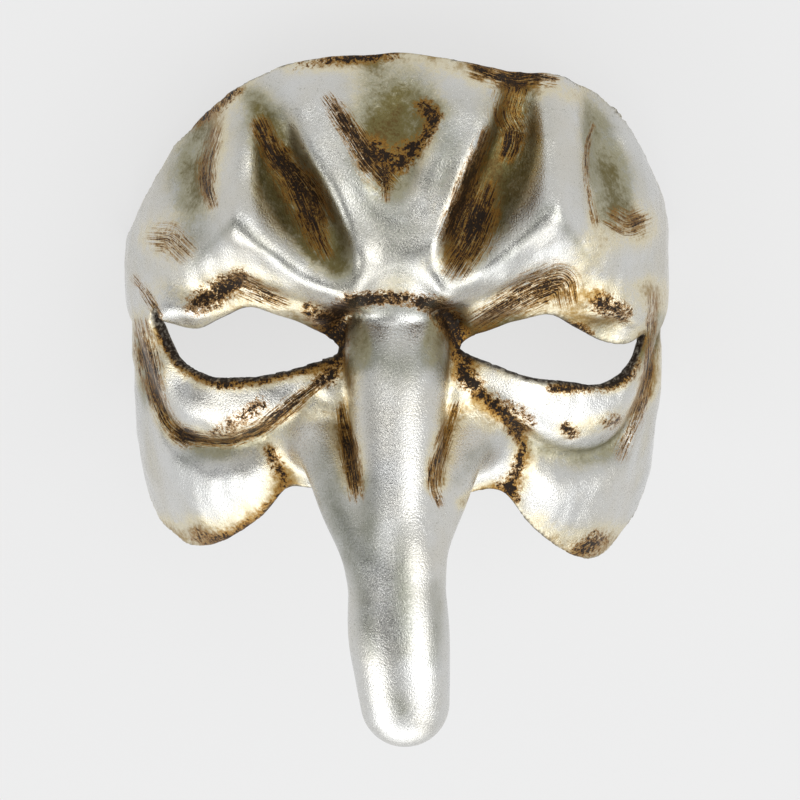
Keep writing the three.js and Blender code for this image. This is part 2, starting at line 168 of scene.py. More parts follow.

# Patina, placed as the face is seen from the front: (right, up, strength, half width) along each
# mark, in millimetres at the distance of the face. Streaks are dragged with the brush, speckles are
# dabbed on, glaze is thin ochre around them, and tarnish is the greenish grey of dulled leaf. Some
# tarnish marks are painted shade and painted dim reflections: under the bags, on the wings, on the
# crests, along the brow lines and on the nose.
STREAKS = {
    "left furrow, outer streak": [(-44.5, 86.5, 0.78, 3), (-40, 77.5, 0.87, 3.6),
        (-35.5, 71.5, 0.87, 4.2), (-32, 64.5, 0.87, 4.2), (-27, 52.5, 0.78, 3.6),
        (-24, 46.5, 0.55, 2.5)],
    "left furrow, inner streak": [(-41, 80.5, 0.46, 2.5), (-36.5, 75, 0.78, 3),
        (-32, 70.5, 0.87, 3.6), (-27, 63.5, 0.83, 3.6), (-24, 57.5, 0.55, 3)],
    "right furrow, inner streak": [(27, 84, 0.7, 2.2), (23.5, 74, 0.95, 2.7), (20, 64, 0.98, 3.2),
        (15.5, 53, 0.85, 3)],
    "right furrow, lower mass": [(28, 66, 0.7, 3.6), (25, 58, 0.97, 5.8),
        (22.5, 51, 0.97, 6.2), (18, 43.5, 0.7, 4.8)],
    "right furrow, upper spot": [(36, 84, 0.64, 3), (35.5, 80.5, 0.9, 3.6), (34.5, 78, 0.64, 3)],
    "right furrow, top": [(36.5, 100, 0.55, 5.5), (35.5, 96, 0.51, 5.5), (34.5, 91, 0.55, 5.5),
        (36.5, 86.5, 0.55, 4.8)],
    "middle hollow, left edge": [(-23, 95.5, 0.5, 2), (-19, 90, 0.8, 3),
        (-14.5, 83, 0.85, 3.4), (-10, 76, 0.85, 4.2), (-5.5, 71, 0.74, 4.2)],
    "middle hollow, drip": [(-5, 72.5, 0.74, 2.5), (-4.5, 67.5, 0.78, 1.5), (-4.5, 63.5, 0.55, 1.1)],
    "left temple line": [(-59, 84.5, 0.32, 2.5), (-61.5, 75, 0.55, 3), (-61.5, 67.5, 0.74, 2.5),
        (-60, 62, 0.55, 1.9)],
    "left temple dab": [(-77, 51.5, 0.46, 3.6), (-73.5, 51, 0.55, 5.5), (-70.5, 48.5, 0.51, 4.8)],
    "right temple line": [(61.5, 87, 0.55, 0.9), (59.5, 79.5, 0.55, 0.9), (59.5, 69, 0.46, 1.1),
        (62, 56.5, 0.37, 1.5)],
    "right temple dab": [(69, 57, 0.55, 3.6), (72.5, 55.5, 0.55, 4.2), (76, 56.5, 0.64, 3.6)],
    "left lid hatch": [(-49.5, 36, 0.64, 3.6), (-44, 33.5, 0.64, 3), (-38, 31, 0.46, 2.5)],
    "right lid hatch": [(26, 25, 0.64, 3.6), (33.5, 29.5, 0.69, 4.2), (42.5, 34.5, 0.74, 5.5),
        (51, 37, 0.74, 5.5), (53, 33, 0.55, 3.6)],
    "left nose groove": [(-19, -3, 0.46, 1.9), (-17.5, -10.5, 0.78, 2.1), (-16, -16.5, 0.9, 2.7),
        (-15, -24.5, 0.83, 2.7), (-14, -31, 0.46, 2.5)],
    "right nose groove": [(17.5, -2.5, 0.46, 1.9), (15, -10, 0.55, 2.1), (12, -19.5, 0.64, 2.5),
        (11, -27.5, 0.64, 2.1), (12.5, -33, 0.37, 1.9)],
    "left bag crease": [(-68, -12, 0.9, 3), (-63.5, -13, 0.78, 1.9), (-55, -13.5, 0.69, 1.9),
        (-50.5, -12, 0.74, 2.1), (-44, -9, 0.78, 2.5), (-37.5, -4, 0.78, 2.7),
        (-30.5, 1.5, 0.74, 2.1), (-23, 7.5, 0.64, 2.1), (-20.5, 12, 0.55, 2.5)],
    "left side groove": [(-84.5, 38, 0.32, 1.9), (-81, 33.5, 0.46, 1.9), (-77.5, 28, 0.55, 1.9)],
    "left cheek groove": [(-82.5, 23, 0.5, 3), (-80, 11, 0.82, 3.6), (-78, 2, 0.75, 3),
        (-74, -7.5, 0.69, 2.5), (-68.5, -12.5, 0.74, 2.5)],
    "right side groove": [(80.5, 32, 0.46, 1.9), (80, 23, 0.55, 1.9), (79.5, 11, 0.55, 1.9),
        (77.5, 1.5, 0.74, 2.1), (75.5, -5, 0.55, 2.5), (70.5, -17.5, 0.37, 3)],
    "top edge, right": [(25, 105, 0.69, 3), (32, 103, 0.83, 3.6), (37, 102, 0.83, 3.6),
        (43.5, 102.5, 0.78, 3), (48.5, 102, 0.55, 2.5)],
}
SPECKLES = {
    "left lid dabs": [(-65, 30, 0.8, 3.6), (-60, 33, 0.88, 3.8), (-55, 36, 0.88, 3.6),
        (-51, 38, 0.8, 3)],
    "left inner corner": [(-29, 28.5, 0.55, 2.8), (-24.5, 24, 0.78, 3.3), (-20.5, 19, 0.74, 2.8)],
    "nose root": [(-21.5, 26, 0.9, 3.6), (-17.5, 29, 0.98, 3.4), (-13, 31, 0.96, 2.6),
        (-7.5, 31.8, 0.9, 2.2), (0, 31.8, 0.85, 2.1), (6, 31, 0.9, 2.4), (11, 29.5, 0.98, 3),
        (14.5, 26.5, 0.98, 3.8), (17.5, 21, 0.92, 3.8), (19.5, 17, 0.85, 3)],
    "left nose root side": [(-18, 26, 0.74, 2), (-18, 17, 0.69, 1.7), (-19, 12, 0.55, 2)],
    "right inner lower corner": [(19.5, 14, 0.85, 3.2), (21, 7.5, 0.9, 3.4), (26.5, 1.5, 0.85, 2.6),
        (33, -4.5, 0.8, 2.8), (37.5, -10, 0.8, 2.8)],
    "left inner lower corner": [(-26, 5.5, 0.7, 2.2), (-23, 7, 0.9, 2.8), (-20.5, 12, 0.85, 2.8)],
    "right crease bloom": [(34, -1.5, 0.3, 2.6), (39, -4.5, 0.34, 2.6), (42, -8, 0.3, 2.4)],
    "right wing crease": [(37.5, -10, 0.78, 2), (39, -16, 0.74, 2), (36.5, -24.5, 0.74, 2.1),
        (35, -29.5, 0.69, 2.4)],
    "right notch": [(32, -27.5, 0.55, 2.4), (35.5, -29.5, 0.64, 2.4), (37.5, -32, 0.46, 1.5)],
    "right lid fold": [(62.5, 31, 0.6, 3), (66.5, 29.5, 0.85, 3.8), (71, 27, 0.6, 3)],
    "left crease bloom": [(-45, -2, 0.6, 2.8), (-50.5, -6.5, 0.55, 2.8), (-56.5, -10, 0.51, 2.8),
        (-60.5, -12, 0.46, 2)],
    "left inner lobe": [(-41.5, -17, 0.6, 2.4), (-38.5, -23, 0.64, 2.4), (-36.5, -27.5, 0.55, 2),
        (-40.5, -32.5, 0.55, 1.5), (-43.5, -35.5, 0.55, 1.5)],
    "left lobe bottom": [(-65, -43.5, 0.51, 2.4), (-60, -45, 0.6, 2.4), (-55.5, -44.5, 0.69, 2.4),
        (-50, -41.5, 0.64, 2.4), (-45, -38, 0.46, 2)],
    "right lobe bottom": [(56, -48.5, 0.55, 2.4), (60, -47, 0.74, 3.3), (63.5, -44.5, 0.64, 2.8)],
    "right crease left end": [(53, -9.5, 0.69, 2.1), (55, -11, 0.64, 2.1)],
    "right crease right end": [(66.5, -7.5, 0.6, 2.4), (69, -6.5, 0.46, 2)],
    "middle hollow, apex": [(-8.5, 79, 0.78, 3.8), (-4.5, 76.5, 0.87, 4.3), (-0.5, 77, 0.78, 3.8),
        (2.5, 79.5, 0.64, 2.8)],
    "middle hollow, right edge": [(11.5, 89, 0.51, 2.4), (7.5, 83, 0.69, 2.4), (3.5, 78.5, 0.74, 2.4),
        (0.5, 74, 0.55, 2.4)],
    "middle hollow, spot": [(6.5, 92.5, 0.69, 2.4), (8.5, 92.5, 0.87, 2.8), (10, 90, 0.55, 2.4)],
    "top edge, left": [(-33, 106, 0.37, 2), (-22.5, 108, 0.6, 2), (-15.5, 108.5, 0.78, 2),
        (-9, 109, 0.74, 2), (-1.5, 110, 0.64, 2)],
    "upper left edge": [(-52, 98.5, 0.55, 2), (-57.5, 93.5, 0.64, 2), (-62, 90, 0.64, 2),
        (-67, 86.5, 0.51, 1.5)],
    "right lower lid": [(48, 3.5, 0.69, 1.4), (55, 3.5, 0.87, 2), (61, 4.5, 0.92, 2.3),
        (68, 5.5, 0.9, 2.3), (73, 8, 0.8, 2), (76, 12, 0.55, 1.2)],
    "right droop of the lid": [(53.5, 24, 0.55, 1.2), (57.5, 22.5, 0.78, 1.5), (61, 20.5, 0.55, 1.2)],
    "left lower lid": [(-77, 26, 0.87, 1.2), (-76, 20.5, 0.87, 1.2), (-73.5, 15.5, 0.83, 1.5),
        (-69, 10, 0.78, 1.7), (-62, 6.5, 0.74, 2), (-55.5, 5, 0.78, 2), (-48, 5.5, 0.64, 1.7),
        (-38, 7.5, 0.64, 1.5), (-30.5, 9.5, 0.64, 1.5), (-23.5, 11.5, 0.64, 2)],
}
GLAZE = {
    "left furrow": [(-46.5, 92.5, 0.6, 6), (-41, 79.5, 0.9, 9.5), (-34.5, 63.5, 0.94, 11.2),
        (-25, 49, 0.92, 9.2), (-19, 40.5, 0.8, 5.5)],
    "right furrow": [(36, 97, 0.75, 7.5), (34.5, 83, 0.88, 9.8), (29, 67, 0.94, 11.6),
        (19.5, 49, 0.92, 9.4), (12, 44, 0.8, 5)],
    "middle hollow": [(-6, 101, 0.5, 9), (-3, 92, 0.85, 13), (-4, 82, 0.9, 9.8), (-4, 70, 0.78, 6.4)],
    "middle hollow, right": [(10, 91.5, 0.6, 5.5), (5, 79.5, 0.6, 5.5)],
    "left temple": [(-59.5, 86, 0.6, 4.6), (-61.5, 73, 0.66, 5.5), (-61, 62, 0.6, 4.6)],
    "left temple, back": [(-68, 73, 0.45, 5), (-68, 60, 0.5, 5.5)],
    "right temple": [(62, 84, 0.45, 5), (66, 71, 0.66, 7.2), (67, 58, 0.6, 7.5), (60, 46, 0.45, 6)],
    "left side": [(-83, 26, 0.5, 3.5), (-80, 12, 0.8, 4.4), (-77.5, 2, 0.7, 3.5)],
    "right side": [(81, 34, 0.6, 5), (81, 19, 0.72, 5), (78.5, 4, 0.6, 4.6)],
    "right lid, under the fold": [(57, 27, 0.5, 4), (66, 24, 0.45, 3.5)],
    "left temple, low": [(-78, 51.5, 0.5, 6), (-71, 49, 0.5, 6)],
    "right temple, low": [(69, 56.5, 0.7, 5.5), (76, 55, 0.7, 6)],
    "left lid": [(-76, 33, 0.3, 6), (-66, 31, 0.42, 7), (-52.5, 35, 0.45, 8), (-36, 29, 0.45, 7.5),
        (-23.5, 20.5, 0.88, 6.2)],
    "right lid": [(20, 20.5, 0.93, 6.4), (33.5, 27, 0.62, 7), (48, 33, 0.65, 7.5), (65, 30, 0.8, 7),
        (76, 30, 0.45, 6)],
    "left lower lid": [(-76.5, 22.5, 0.6, 2.8), (-67, 8.5, 0.66, 3.2), (-48, 5.5, 0.6, 2.8),
        (-24, 11, 0.78, 3.2)],
    "right lower lid": [(51, 4, 0.48, 2.8), (71.5, 7, 0.54, 2.8)],
    "left crease": [(-79.5, 6.5, 0.54, 3.2), (-73, -9, 0.66, 3.2), (-59, -12.5, 0.72, 3.8),
        (-44, -8.5, 0.84, 3.6), (-32, 0.5, 0.8, 3.2), (-23, 7, 0.9, 4)],
    "right crease": [(19.5, 14, 0.9, 4.6), (23, 3.5, 0.9, 4.4), (37.5, -9.5, 0.84, 4),
        (39, -22.5, 0.72, 4.2), (34.5, -30, 0.72, 3.6)],
    "right bag crease": [(51, -10, 0.6, 3.2), (60.5, -9, 0.6, 3.2), (70, -5.5, 0.6, 3.2),
        (77.5, 1.5, 0.66, 2.8), (79.5, 19, 0.54, 2.8)],
    "left lobe": [(-75, -41.5, 0.42, 4.6), (-63.5, -43, 0.66, 5.5), (-51, -41, 0.66, 5.5),
        (-36.5, -26, 0.72, 4.2)],
    "left inner lobe": [(-41.5, -16, 0.66, 4.2), (-37.5, -25, 0.72, 4.2)],
    "right lobe": [(44.5, -40, 0.42, 4.6), (55.5, -47, 0.66, 5.1), (67, -44, 0.54, 5.5)],
    "top edge": [(-35, 105.5, 0.42, 2.8), (-16, 107.5, 0.66, 3.2), (0, 108.5, 0.48, 3.2),
        (12.5, 106.5, 0.48, 3.6), (28.5, 103, 0.72, 4.2), (41.5, 100.5, 0.66, 4.2),
        (57.5, 96, 0.42, 3.2)],
    "upper left edge": [(-51, 98, 0.6, 3.6), (-60.5, 90, 0.6, 3.6), (-70, 79.5, 0.36, 2.8)],
    "left groove beside the nose": [(-17.5, 12, 0.75, 4), (-17.5, 2, 0.85, 4.6), (-18, -10, 0.85, 4.6),
        (-15, -26, 0.8, 4)],
    "right groove beside the nose": [(18.5, 8, 0.8, 4), (17.5, -1, 0.85, 4.2), (14, -13, 0.75, 4),
        (11.5, -27, 0.72, 3.4)],
    "left wing top": [(-30.5, -5.5, 0.36, 3.6), (-21.5, -3, 0.42, 3.6)],
    "right wing top": [(21, -4, 0.36, 4.2), (28.5, -8, 0.3, 3.6)],
    "right wing foot": [(20, -33.5, 0.66, 2.3), (25, -29.5, 0.6, 1.9), (29.5, -28, 0.54, 1.9)],
}
TARNISH_AND_SHADE = {
    "left furrow": [(-44, 88, 0.85, 8), (-34.5, 70, 0.95, 10.5), (-24, 50, 1.0, 10), (-18, 40, 0.7, 6)],
    "right furrow": [(36, 94, 0.8, 9), (33, 76, 0.92, 10.8), (24, 52, 1.0, 10), (17, 41, 0.7, 6)],
    "left furrow top": [(-47, 96, 0.83, 4), (-42, 90, 0.44, 4)],
    "middle hollow": [(-5, 102, 0.5, 11), (-2, 93, 0.92, 14), (-2, 84, 0.95, 11), (-2, 76, 0.8, 7)],
    "brow middle": [(-1, 63, 0.4, 7), (-1, 55, 0.65, 9), (1, 47, 0.6, 8)],
    "left temple": [(-66, 76, 0.7, 6), (-66, 65, 0.8, 7), (-66, 54, 0.7, 7)],
    "right temple": [(63, 84, 0.6, 4.5), (66, 71, 0.95, 7.5), (68.5, 60, 0.9, 7)],
    # Painted dark reflection on the nose tip, partly dulled leaf
    "nose tip": [(-1.5, -95, 0.6, 2.6), (0.5, -99, 0.75, 3)],
    # Painted dim reflection: dulls the bright reflection of the top strip on the crests
    "left crest": [(-17, 88, 0.6, 5), (-12.5, 72, 0.95, 5.5), (-8.5, 61, 0.75, 5.5)],
    "right crest": [(13, 92, 0.5, 5), (15.5, 81, 0.75, 5), (12, 70, 0.55, 5)],
    "right side, low": [(59, 9, 0.4, 4), (68, 7, 0.7, 4.5), (78, 16, 0.6, 4), (83, 25, 0.6, 4)],
    "left side, low": [(-77, 12, 0.5, 4), (-80, 2, 0.5, 4)],
    # Painted dark reflections and dimmed highlights on the nose bulb, flank and ridge, partly dulled leaf
    "nose bulb, top": [(-8, 27, 0.6, 3), (0, 29.5, 0.75, 3), (8, 27, 0.6, 3)],
    "nose bulb": [(-7.5, 14, 0.8, 5.5), (1.5, 10, 0.8, 6.5), (10, 14, 0.6, 4.8),
        (12.5, 6.5, 0.39, 3.1)],
    "nose flank": [(-15.5, -51, 0.8, 3.4), (-12.5, -60.5, 0.72, 3.1), (-10.5, -71.5, 0.72, 3.1),
        (-9, -80.5, 0.55, 2.4)],
    "nose, left": [(-10, -26, 0.6, 4), (-10, -38, 0.85, 4.4), (-10, -51, 0.9, 4.4)],
    "nose ridge": [(0, -42, 0.4, 3), (0.5, -55, 0.85, 3.8), (1, -66, 1.0, 4.2), (1.5, -81, 0.6, 3.4)],
    "nose ridge, right": [(11, -60, 0.5, 2.6), (11.5, -72, 0.6, 2.6), (10.5, -84, 0.5, 2.4)],
    # Partly painted shade where the nose wings turn away from the light, partly dulled leaf
    "left wing": [(-25, -17.5, 0.7, 5), (-21, -33.5, 0.95, 6), (-15.5, -47, 0.95, 5)],
    "right wing": [(22.5, -18.5, 0.66, 2.4), (28, -15.5, 0.44, 2), (18, -25.5, 0.33, 2.4)],
    # Painted shade where the cheek turns under the eye bags
    "under the left bag": [(-68.5, -19.5, 0.66, 3.1), (-62, -17.5, 0.61, 3.1),
        (-55, -16.5, 0.39, 2.8)],
    "under the right bag": [(63, -15.5, 0.39, 5.6), (69.5, -17.5, 0.5, 4)],
    "forehead": [(-22.5, 54, 0.28, 5.6), (-15.5, 41.5, 0.22, 4)],
    # Painted dark reflection: thin dark lines above the white brow highlights
    "left brow line": [(-67, 41.5, 0.39, 1.6), (-55.5, 53.5, 0.55, 1.6), (-51, 55.5, 0.61, 2),
        (-44, 49, 0.61, 1.6), (-35, 41.5, 0.44, 1.6)],
    "right brow line": [(33.5, 44, 0.5, 1.6), (41.5, 53.5, 0.61, 1.6), (47.5, 61, 0.66, 2),
        (53, 54, 0.55, 1.6), (60, 45, 0.44, 1.6)],
    "left side": [(-83.5, 25.5, 0.33, 3.1), (-82, 12.5, 0.39, 3.1), (-80.5, 0, 0.33, 3.1)],
}

# Parts of a mark between two rows, half widths out to which it is worked out, and how far the
# brush hairs of one mark lie from those of the next
MARK_STEPS = 6
MARK_REACH = 3.2
APART_ALONG = 31.0
APART_DEEP = 7.0

# How the patina lies on the mesh: depths under the outer skin and distances from a cut edge in
# millimetres, each as (where it starts, where it is full), and strengths
SKIN = (2.0, 1.0)
INSIDE = (0.5, 1.3)
CUT_EDGE = (0.9, 0.25)
CUT_UNDER_SKIN = (0.1, 0.5)
TURNED_TO_FRONT = (-0.15, 0.15)
HOLLOW_SPREADS = (5.0, 11.0)
HOLLOW_FULL = 2.2
BROAD_FULL = 4.5
RAISED_FULL = 1.6
RUBBED_BARE = 0.75
HOLLOW_GLAZE = 0.4
EDGE_GLAZE = 0.25
EDGE_WIDTH = 2.4
# Tarnish that the fine and the broad hollows get by their depth: partly dulled leaf, partly painted shade
# that darkens every recess
HOLLOW_SHADE_AND_TARNISH = 0.25
BROAD_SHADE_AND_TARNISH = 0.45

# Patterns of the leaf and the paint: scale per metre, detail, roughness and distortion
PATTERNS = {
    "dabs": (620.0, 4.0, 0.75, 0.3),
    "clouds": (110.0, 4.0, 0.6, 0.0),
    "wide clouds": (38.0, 2.0, 0.5, 0.0),
    "mottle": (1700.0, 2.0, 0.6, 0.0),
    "flecks": (1150.0, 2.0, 0.7, 0.0),
    "smears": (330.0, 3.0, 0.6, 0.0),
}
# Brush hairs: scale per millimetre across and along the stroke, turn and distortion
HAIRS = {
    "hairs": ((2.3, 0.13, 1.0), (0.0, 0.0, 0.0), 0.5),
    "fine hairs": ((6.0, 0.30, 1.0), (0.1, 0.0, 0.0), 0.4),
}
HAIR_DETAIL = 3.0
HAIR_ROUGHNESS = 0.6

# How strongly each pattern breaks up the edges of the paint and the glaze
STREAK_EDGES = {"hairs": 1.9, "fine hairs": 1.6, "dabs": 0.8, "clouds": 0.6}
SPECKLE_EDGES = {"dabs": 2.6, "mottle": 0.8, "clouds": 0.8}
GLAZE_EDGES = {"clouds": 0.9, "dabs": 0.9}
BRUSHED_GLAZE = {"fine hairs": 1.0, "hairs": 1.2}

# Levels below are (where one starts, where it is full), and two more numbers, where they are given,
# are its strength at the one and at the other.

# Dark paint: strength in a stroke, flecks that it misses, how near a stroke it lies, the levels of
# washed, thin and thick paint, strengths of the colour of washed and thin paint, and the dabs that
# cover the cut edges
STREAK_STRENGTH = 0.9
SPECKLE_STRENGTH = 0.95
MISSED_FLECKS = (0.56, 0.70, 0.0, -0.5)
NEAR_STROKE = (0.04, 0.3)
PAINT_LEVELS = ((0.14, 0.42), (0.42, 0.60), (0.54, 0.72))
WASH_COVER = 0.82
THIN_COVER = 0.9
CUT_DABS = (0.3, 0.55, 0.6, 1.0)

# Glaze: how much of it gathers round the paint, where the brush and its own unevenness show, the
# levels of its thin fringe, its body and its thickest parts, and how dull the leaf is where the
# fringe and the body turn olive
GATHERED_GLAZE = 0.25
BRUSH_SHOWS = (0.02, 0.3)
UNEVEN_SHOWS = (0.0, 0.4)
FRINGE_COVER = (0.0, 0.42, 0.0, 0.8)
BODY_COVER = (0.36, 0.8, 0.0, 0.95)
THICKEST_COVER = (0.8, 1.0, 0.0, 0.55)
OLIVE_FRINGE = (0.15, 0.65)
OLIVE_BODY = (0.1, 0.7)

# Bare leaf: how patchy its dull places are, which also hold painted shade, how strong their colour is,
# where it has yellowed, how far the small clouds count there, and worn specks, more of them in some
# clouds than in others
DULL_PATCHES = (0.7, 1.2, 0.65, 1.0)
DULL_AND_SHADE_COVER = 0.9
YELLOWED = (0.55, 0.95)
CLOUDS_IN_YELLOW = 0.5
WORN_SPECKS = (0.58, 0.70, 0.0, 0.55)
WORN_CLOUDS = (0.42, 0.62, 0.3, 1.0)

# Shine: how much metal the paint, the inside and the cut edges leave, and how strongly a surface
# that isn't metal reflects
PAINT_METAL = (0.1, 1.3, 1.0, 0.1)
INSIDE_METAL = (0.2, 0.8, 1.0, 0.0)
CUT_METAL = (0.1, 0.7, 1.0, 0.0)
PAINT_SPECULAR = 0.12

# Roughness of the leaf from its mottling and smears, and what other finishes add to it
MOTTLE_ROUGHNESS = (0.3, 0.7, 0.14, 0.27)
SMEAR_ROUGHNESS = (0.35, 0.65, -0.03, 0.07)
GLAZE_ROUGHER = 0.20
INSIDE_ROUGHER = 0.3
DULL_ROUGHER = 0.08

# Height of the fine grain, of the scratches and of thin paint, as shares of the bump's depth
BUMP_DEPTH = 0.22 * MM
GRAIN_HEIGHT = 0.5
SCRATCH_HEIGHT = 0.33
PAINT_HEIGHT = -0.2

# Fine scratches in the leaf: how closely they lie, across and along, which way they turn, and the
# scale, detail, roughness and distortion of their lines
SCRATCH_SCALE = (2600.0, 2600.0, 480.0)
SCRATCH_TURNS = [(0.9, 0.2, 0.5), (1.9, 0.9, -0.7), (0.3, 1.5, 1.1)]
SCRATCH_LINES = (1.0, 2.0, 0.5, 0.3)

# Soft panels round the mask: azimuth from the forehead's side to the right and elevation in degrees,
# distance, (width, height) in metres, and radiance
PANELS = {
    "right panel": (70, 45, 1.25, (1.8, 1.0), 1.8),
    "left panel": (-113, 34, 1.25, (1.0, 0.8), 1.95),
    "front panel": (180, 32, 1.30, (1.7, 1.0), 1.25),
    "top strip": (-26, 27, 1.30, (1.05, 0.14), 2.7),
}

# Dim patches of the studio: azimuth, elevation, degrees where they end and are full, and how dim
DIM_PATCHES = [(-36, 49, 31, 12, 0.28), (-80, 20, 25, 9, 0.25)]

FLOOR_SIZE = 8.0
FLOOR_FINISH = {"Roughness": 0.9, "Specular IOR Level": 0.2}

# The camera, in the face's own millimetres: its tilt from straight down, distance and aim
FRONT_DISTANCE = 900.0
CAMERA_TILT = math.radians(31.0)
CAMERA_DISTANCE = 925.7
CAMERA_LOW = -48.1
CAMERA_RIGHT = 0.95
CAMERA_LENS = 127.2
SENSOR = 36.0

# Sockets of a Mix node that hold colours
MIX_FIRST, MIX_SECOND, MIX_RESULT = 6, 7, 2


class MaskSizes(bpy.types.PropertyGroup):
    wall: FloatProperty(
        name="Wall", description="Thickness of the papier-mache shell",
        default=3.0 * MM, min=1.5 * MM, max=5.0 * MM, precision=4, subtype="DISTANCE", unit="LENGTH")
    voxel: FloatProperty(
        name="Facet", description="Edge length of the fine mesh",
        default=1.19 * MM, min=0.9 * MM, max=3.0 * MM, precision=4, subtype="DISTANCE", unit="LENGTH")
    edge_round: FloatProperty(
        name="Edge rounding", description="Rounding of the cut edges of the shell",
        default=1.4 * MM, min=0.3 * MM, max=3.0 * MM, precision=4, subtype="DISTANCE", unit="LENGTH")


class MaskColours(bpy.types.PropertyGroup):
    silver: FloatVectorProperty(
        name="Silver leaf", description="Colour of the bare silver leaf",
        default=(0.65, 0.65, 0.635), min=0, max=1, subtype="COLOR")
    silver_warm: FloatVectorProperty(
        name="Aged leaf", description="Colour of the leaf where its varnish has yellowed a little",
        default=(0.625, 0.605, 0.55), min=0, max=1, subtype="COLOR")
    # The tarnish colour also tints the painted shade and painted dim reflections of the dulled places
    tarnish_and_shade: FloatVectorProperty(
        name="Tarnish", description="Greenish grey of dulled leaf",
        default=(0.22, 0.225, 0.18), min=0, max=1, subtype="COLOR")
    cream: FloatVectorProperty(
        name="Cream glaze", description="Thinnest glaze over the leaf",
        default=(0.72, 0.645, 0.45), min=0, max=1, subtype="COLOR")
    ochre: FloatVectorProperty(
        name="Ochre glaze", description="Glaze close to the dark patina",
        default=(0.33, 0.215, 0.07), min=0, max=1, subtype="COLOR")
    amber: FloatVectorProperty(
        name="Amber wash", description="Strong yellow-brown wash under the dark paint",
        default=(0.31, 0.155, 0.03), min=0, max=1, subtype="COLOR")
    pale_olive: FloatVectorProperty(
        name="Pale olive glaze", description="Thinnest glaze over dulled leaf",
        default=(0.36, 0.335, 0.22), min=0, max=1, subtype="COLOR")
    olive: FloatVectorProperty(
        name="Olive glaze", description="Glaze on the dulled leaf of the furrows",
        default=(0.15, 0.124, 0.045), min=0, max=1, subtype="COLOR")
    umber: FloatVectorProperty(
        name="Umber", description="Thin brown paint",
        default=(0.10, 0.043, 0.010), min=0, max=1, subtype="COLOR")
    patina: FloatVectorProperty(
        name="Brown patina", description="Dark brown paint left in the hollows",
        default=(0.014, 0.008, 0.004), min=0, max=1, subtype="COLOR")
    inside: FloatVectorProperty(
        name="Inside", description="Bare pale paper on the back of the shell",
        default=(0.50, 0.45, 0.37), min=0, max=1, subtype="COLOR")


class StageSettings(bpy.types.PropertyGroup):
    floor: FloatVectorProperty(
        name="Floor", description="Colour of the translucent studio floor",
        default=(0.13, 0.13, 0.13), min=0, max=1, subtype="COLOR")
    glow: FloatProperty(
        name="Floor glow", description="Light that comes up through the floor, as from a light table",
        default=0.655, min=0)
    panels: FloatProperty(
        name="Panels", description="Strength of the soft panels round the mask",
        default=1.08, min=0)
    room: FloatProperty(
        name="Room light", description="Strength of the even light from all sides",
        default=0.80, min=0)
    room_colour: FloatVectorProperty(
        name="Room colour", description="Colour of the even light from all sides",
        default=(0.98, 0.99, 1.0), min=0, max=1, subtype="COLOR")


def ease(a, b, v):
    """Eases from 0 at `a` to 1 at `b`."""
    t = np.clip((v - a) / (b - a), 0.0, 1.0)
    return t * t * (3.0 - 2.0 * t)


def smooth_line(rows, steps, closed=False):
    """Catmull-Rom line through rows of numbers, with `steps` parts between two rows."""
    rows = np.asarray(rows, float)
    if closed:
        a, b, c, d = (np.roll(rows, 1 - k, axis=0) for k in range(4))
    else:
        padded = np.vstack([rows[:1], rows, rows[-1:]])
        a, b, c, d = padded[:-3], padded[1:-2], padded[2:-1], padded[3:]
    t = (np.arange(steps) / steps)[None, :, None]
    a, b, c, d = (r[:, None, :] for r in (a, b, c, d))
    line = 0.5 * (2 * b + (c - a) * t + (2 * a - 5 * b + 4 * c - d) * t ** 2
                  + (3 * b - a - 3 * c + d) * t ** 3)
    line = line.reshape(-1, rows.shape[1])
    return line if closed else np.vstack([line, rows[-1:]])


def nearest_on(line, x, y, soft):
    """Distance from each (x, y) to a line of rows, and the row's other values there. Stretches that
    are nearly as close count as well, over about `soft` of distance, so nothing jumps."""
    stretches = []
    near = np.full(x.shape, np.inf)
    run = 0.0
    for start, end in zip(line[:-1], line[1:]):
        dx, dy = end[:2] - start[:2]
        length = math.hypot(dx, dy)
        s = np.clip(((x - start[0]) * dx + (y - start[1]) * dy) / length ** 2, 0, 1)
        ox, oy = x - start[0] - s * dx, y - start[1] - s * dy
        away = np.sqrt(ox * ox + oy * oy)
        near = np.minimum(near, away)
        stretches.append((away, s, start, end, run, length, (oy * dx - ox * dy) / length))
        run += length
    weight = np.zeros(x.shape)
    values = np.zeros(x.shape + (line.shape[1] - 2,))
    along, across = np.zeros(x.shape), np.zeros(x.shape)
    for away, s, start, end, before, length, side in stretches:
        w = np.exp((near - away) / soft)
        weight += w
        values += w[..., None] * (start[2:] + s[..., None] * (end[2:] - start[2:]))
        along += w * (before + s * length)
        across += w * side
    return near, values / weight[..., None], along / weight, across / weight


def evened(x, y):
    """Height on the face once the right half's extra tallness is taken out."""
    side = 0.5 + 0.5 * np.tanh((x - TALLER_FROM_X) / TALLER_OVER_X)
    return TALLER_FROM_Y + (y - TALLER_FROM_Y) / (1 + RIGHT_TALLER * side)


def relief_exact(x, y):
    across, up = np.abs(x), evened(x, y)
    total = np.zeros(x.shape)
    for edge, skew, rows in RELIEF.values():
        near, found, _, side = nearest_on(smooth_line(rows, LINE_STEPS), across, up, RELIEF_SOFT)
        wide = found[..., 1] * (1 + skew * np.tanh(side / RELIEF_SOFT))
        total += found[..., 0] * np.exp(-(near / wide) ** (2 * edge))
    return total


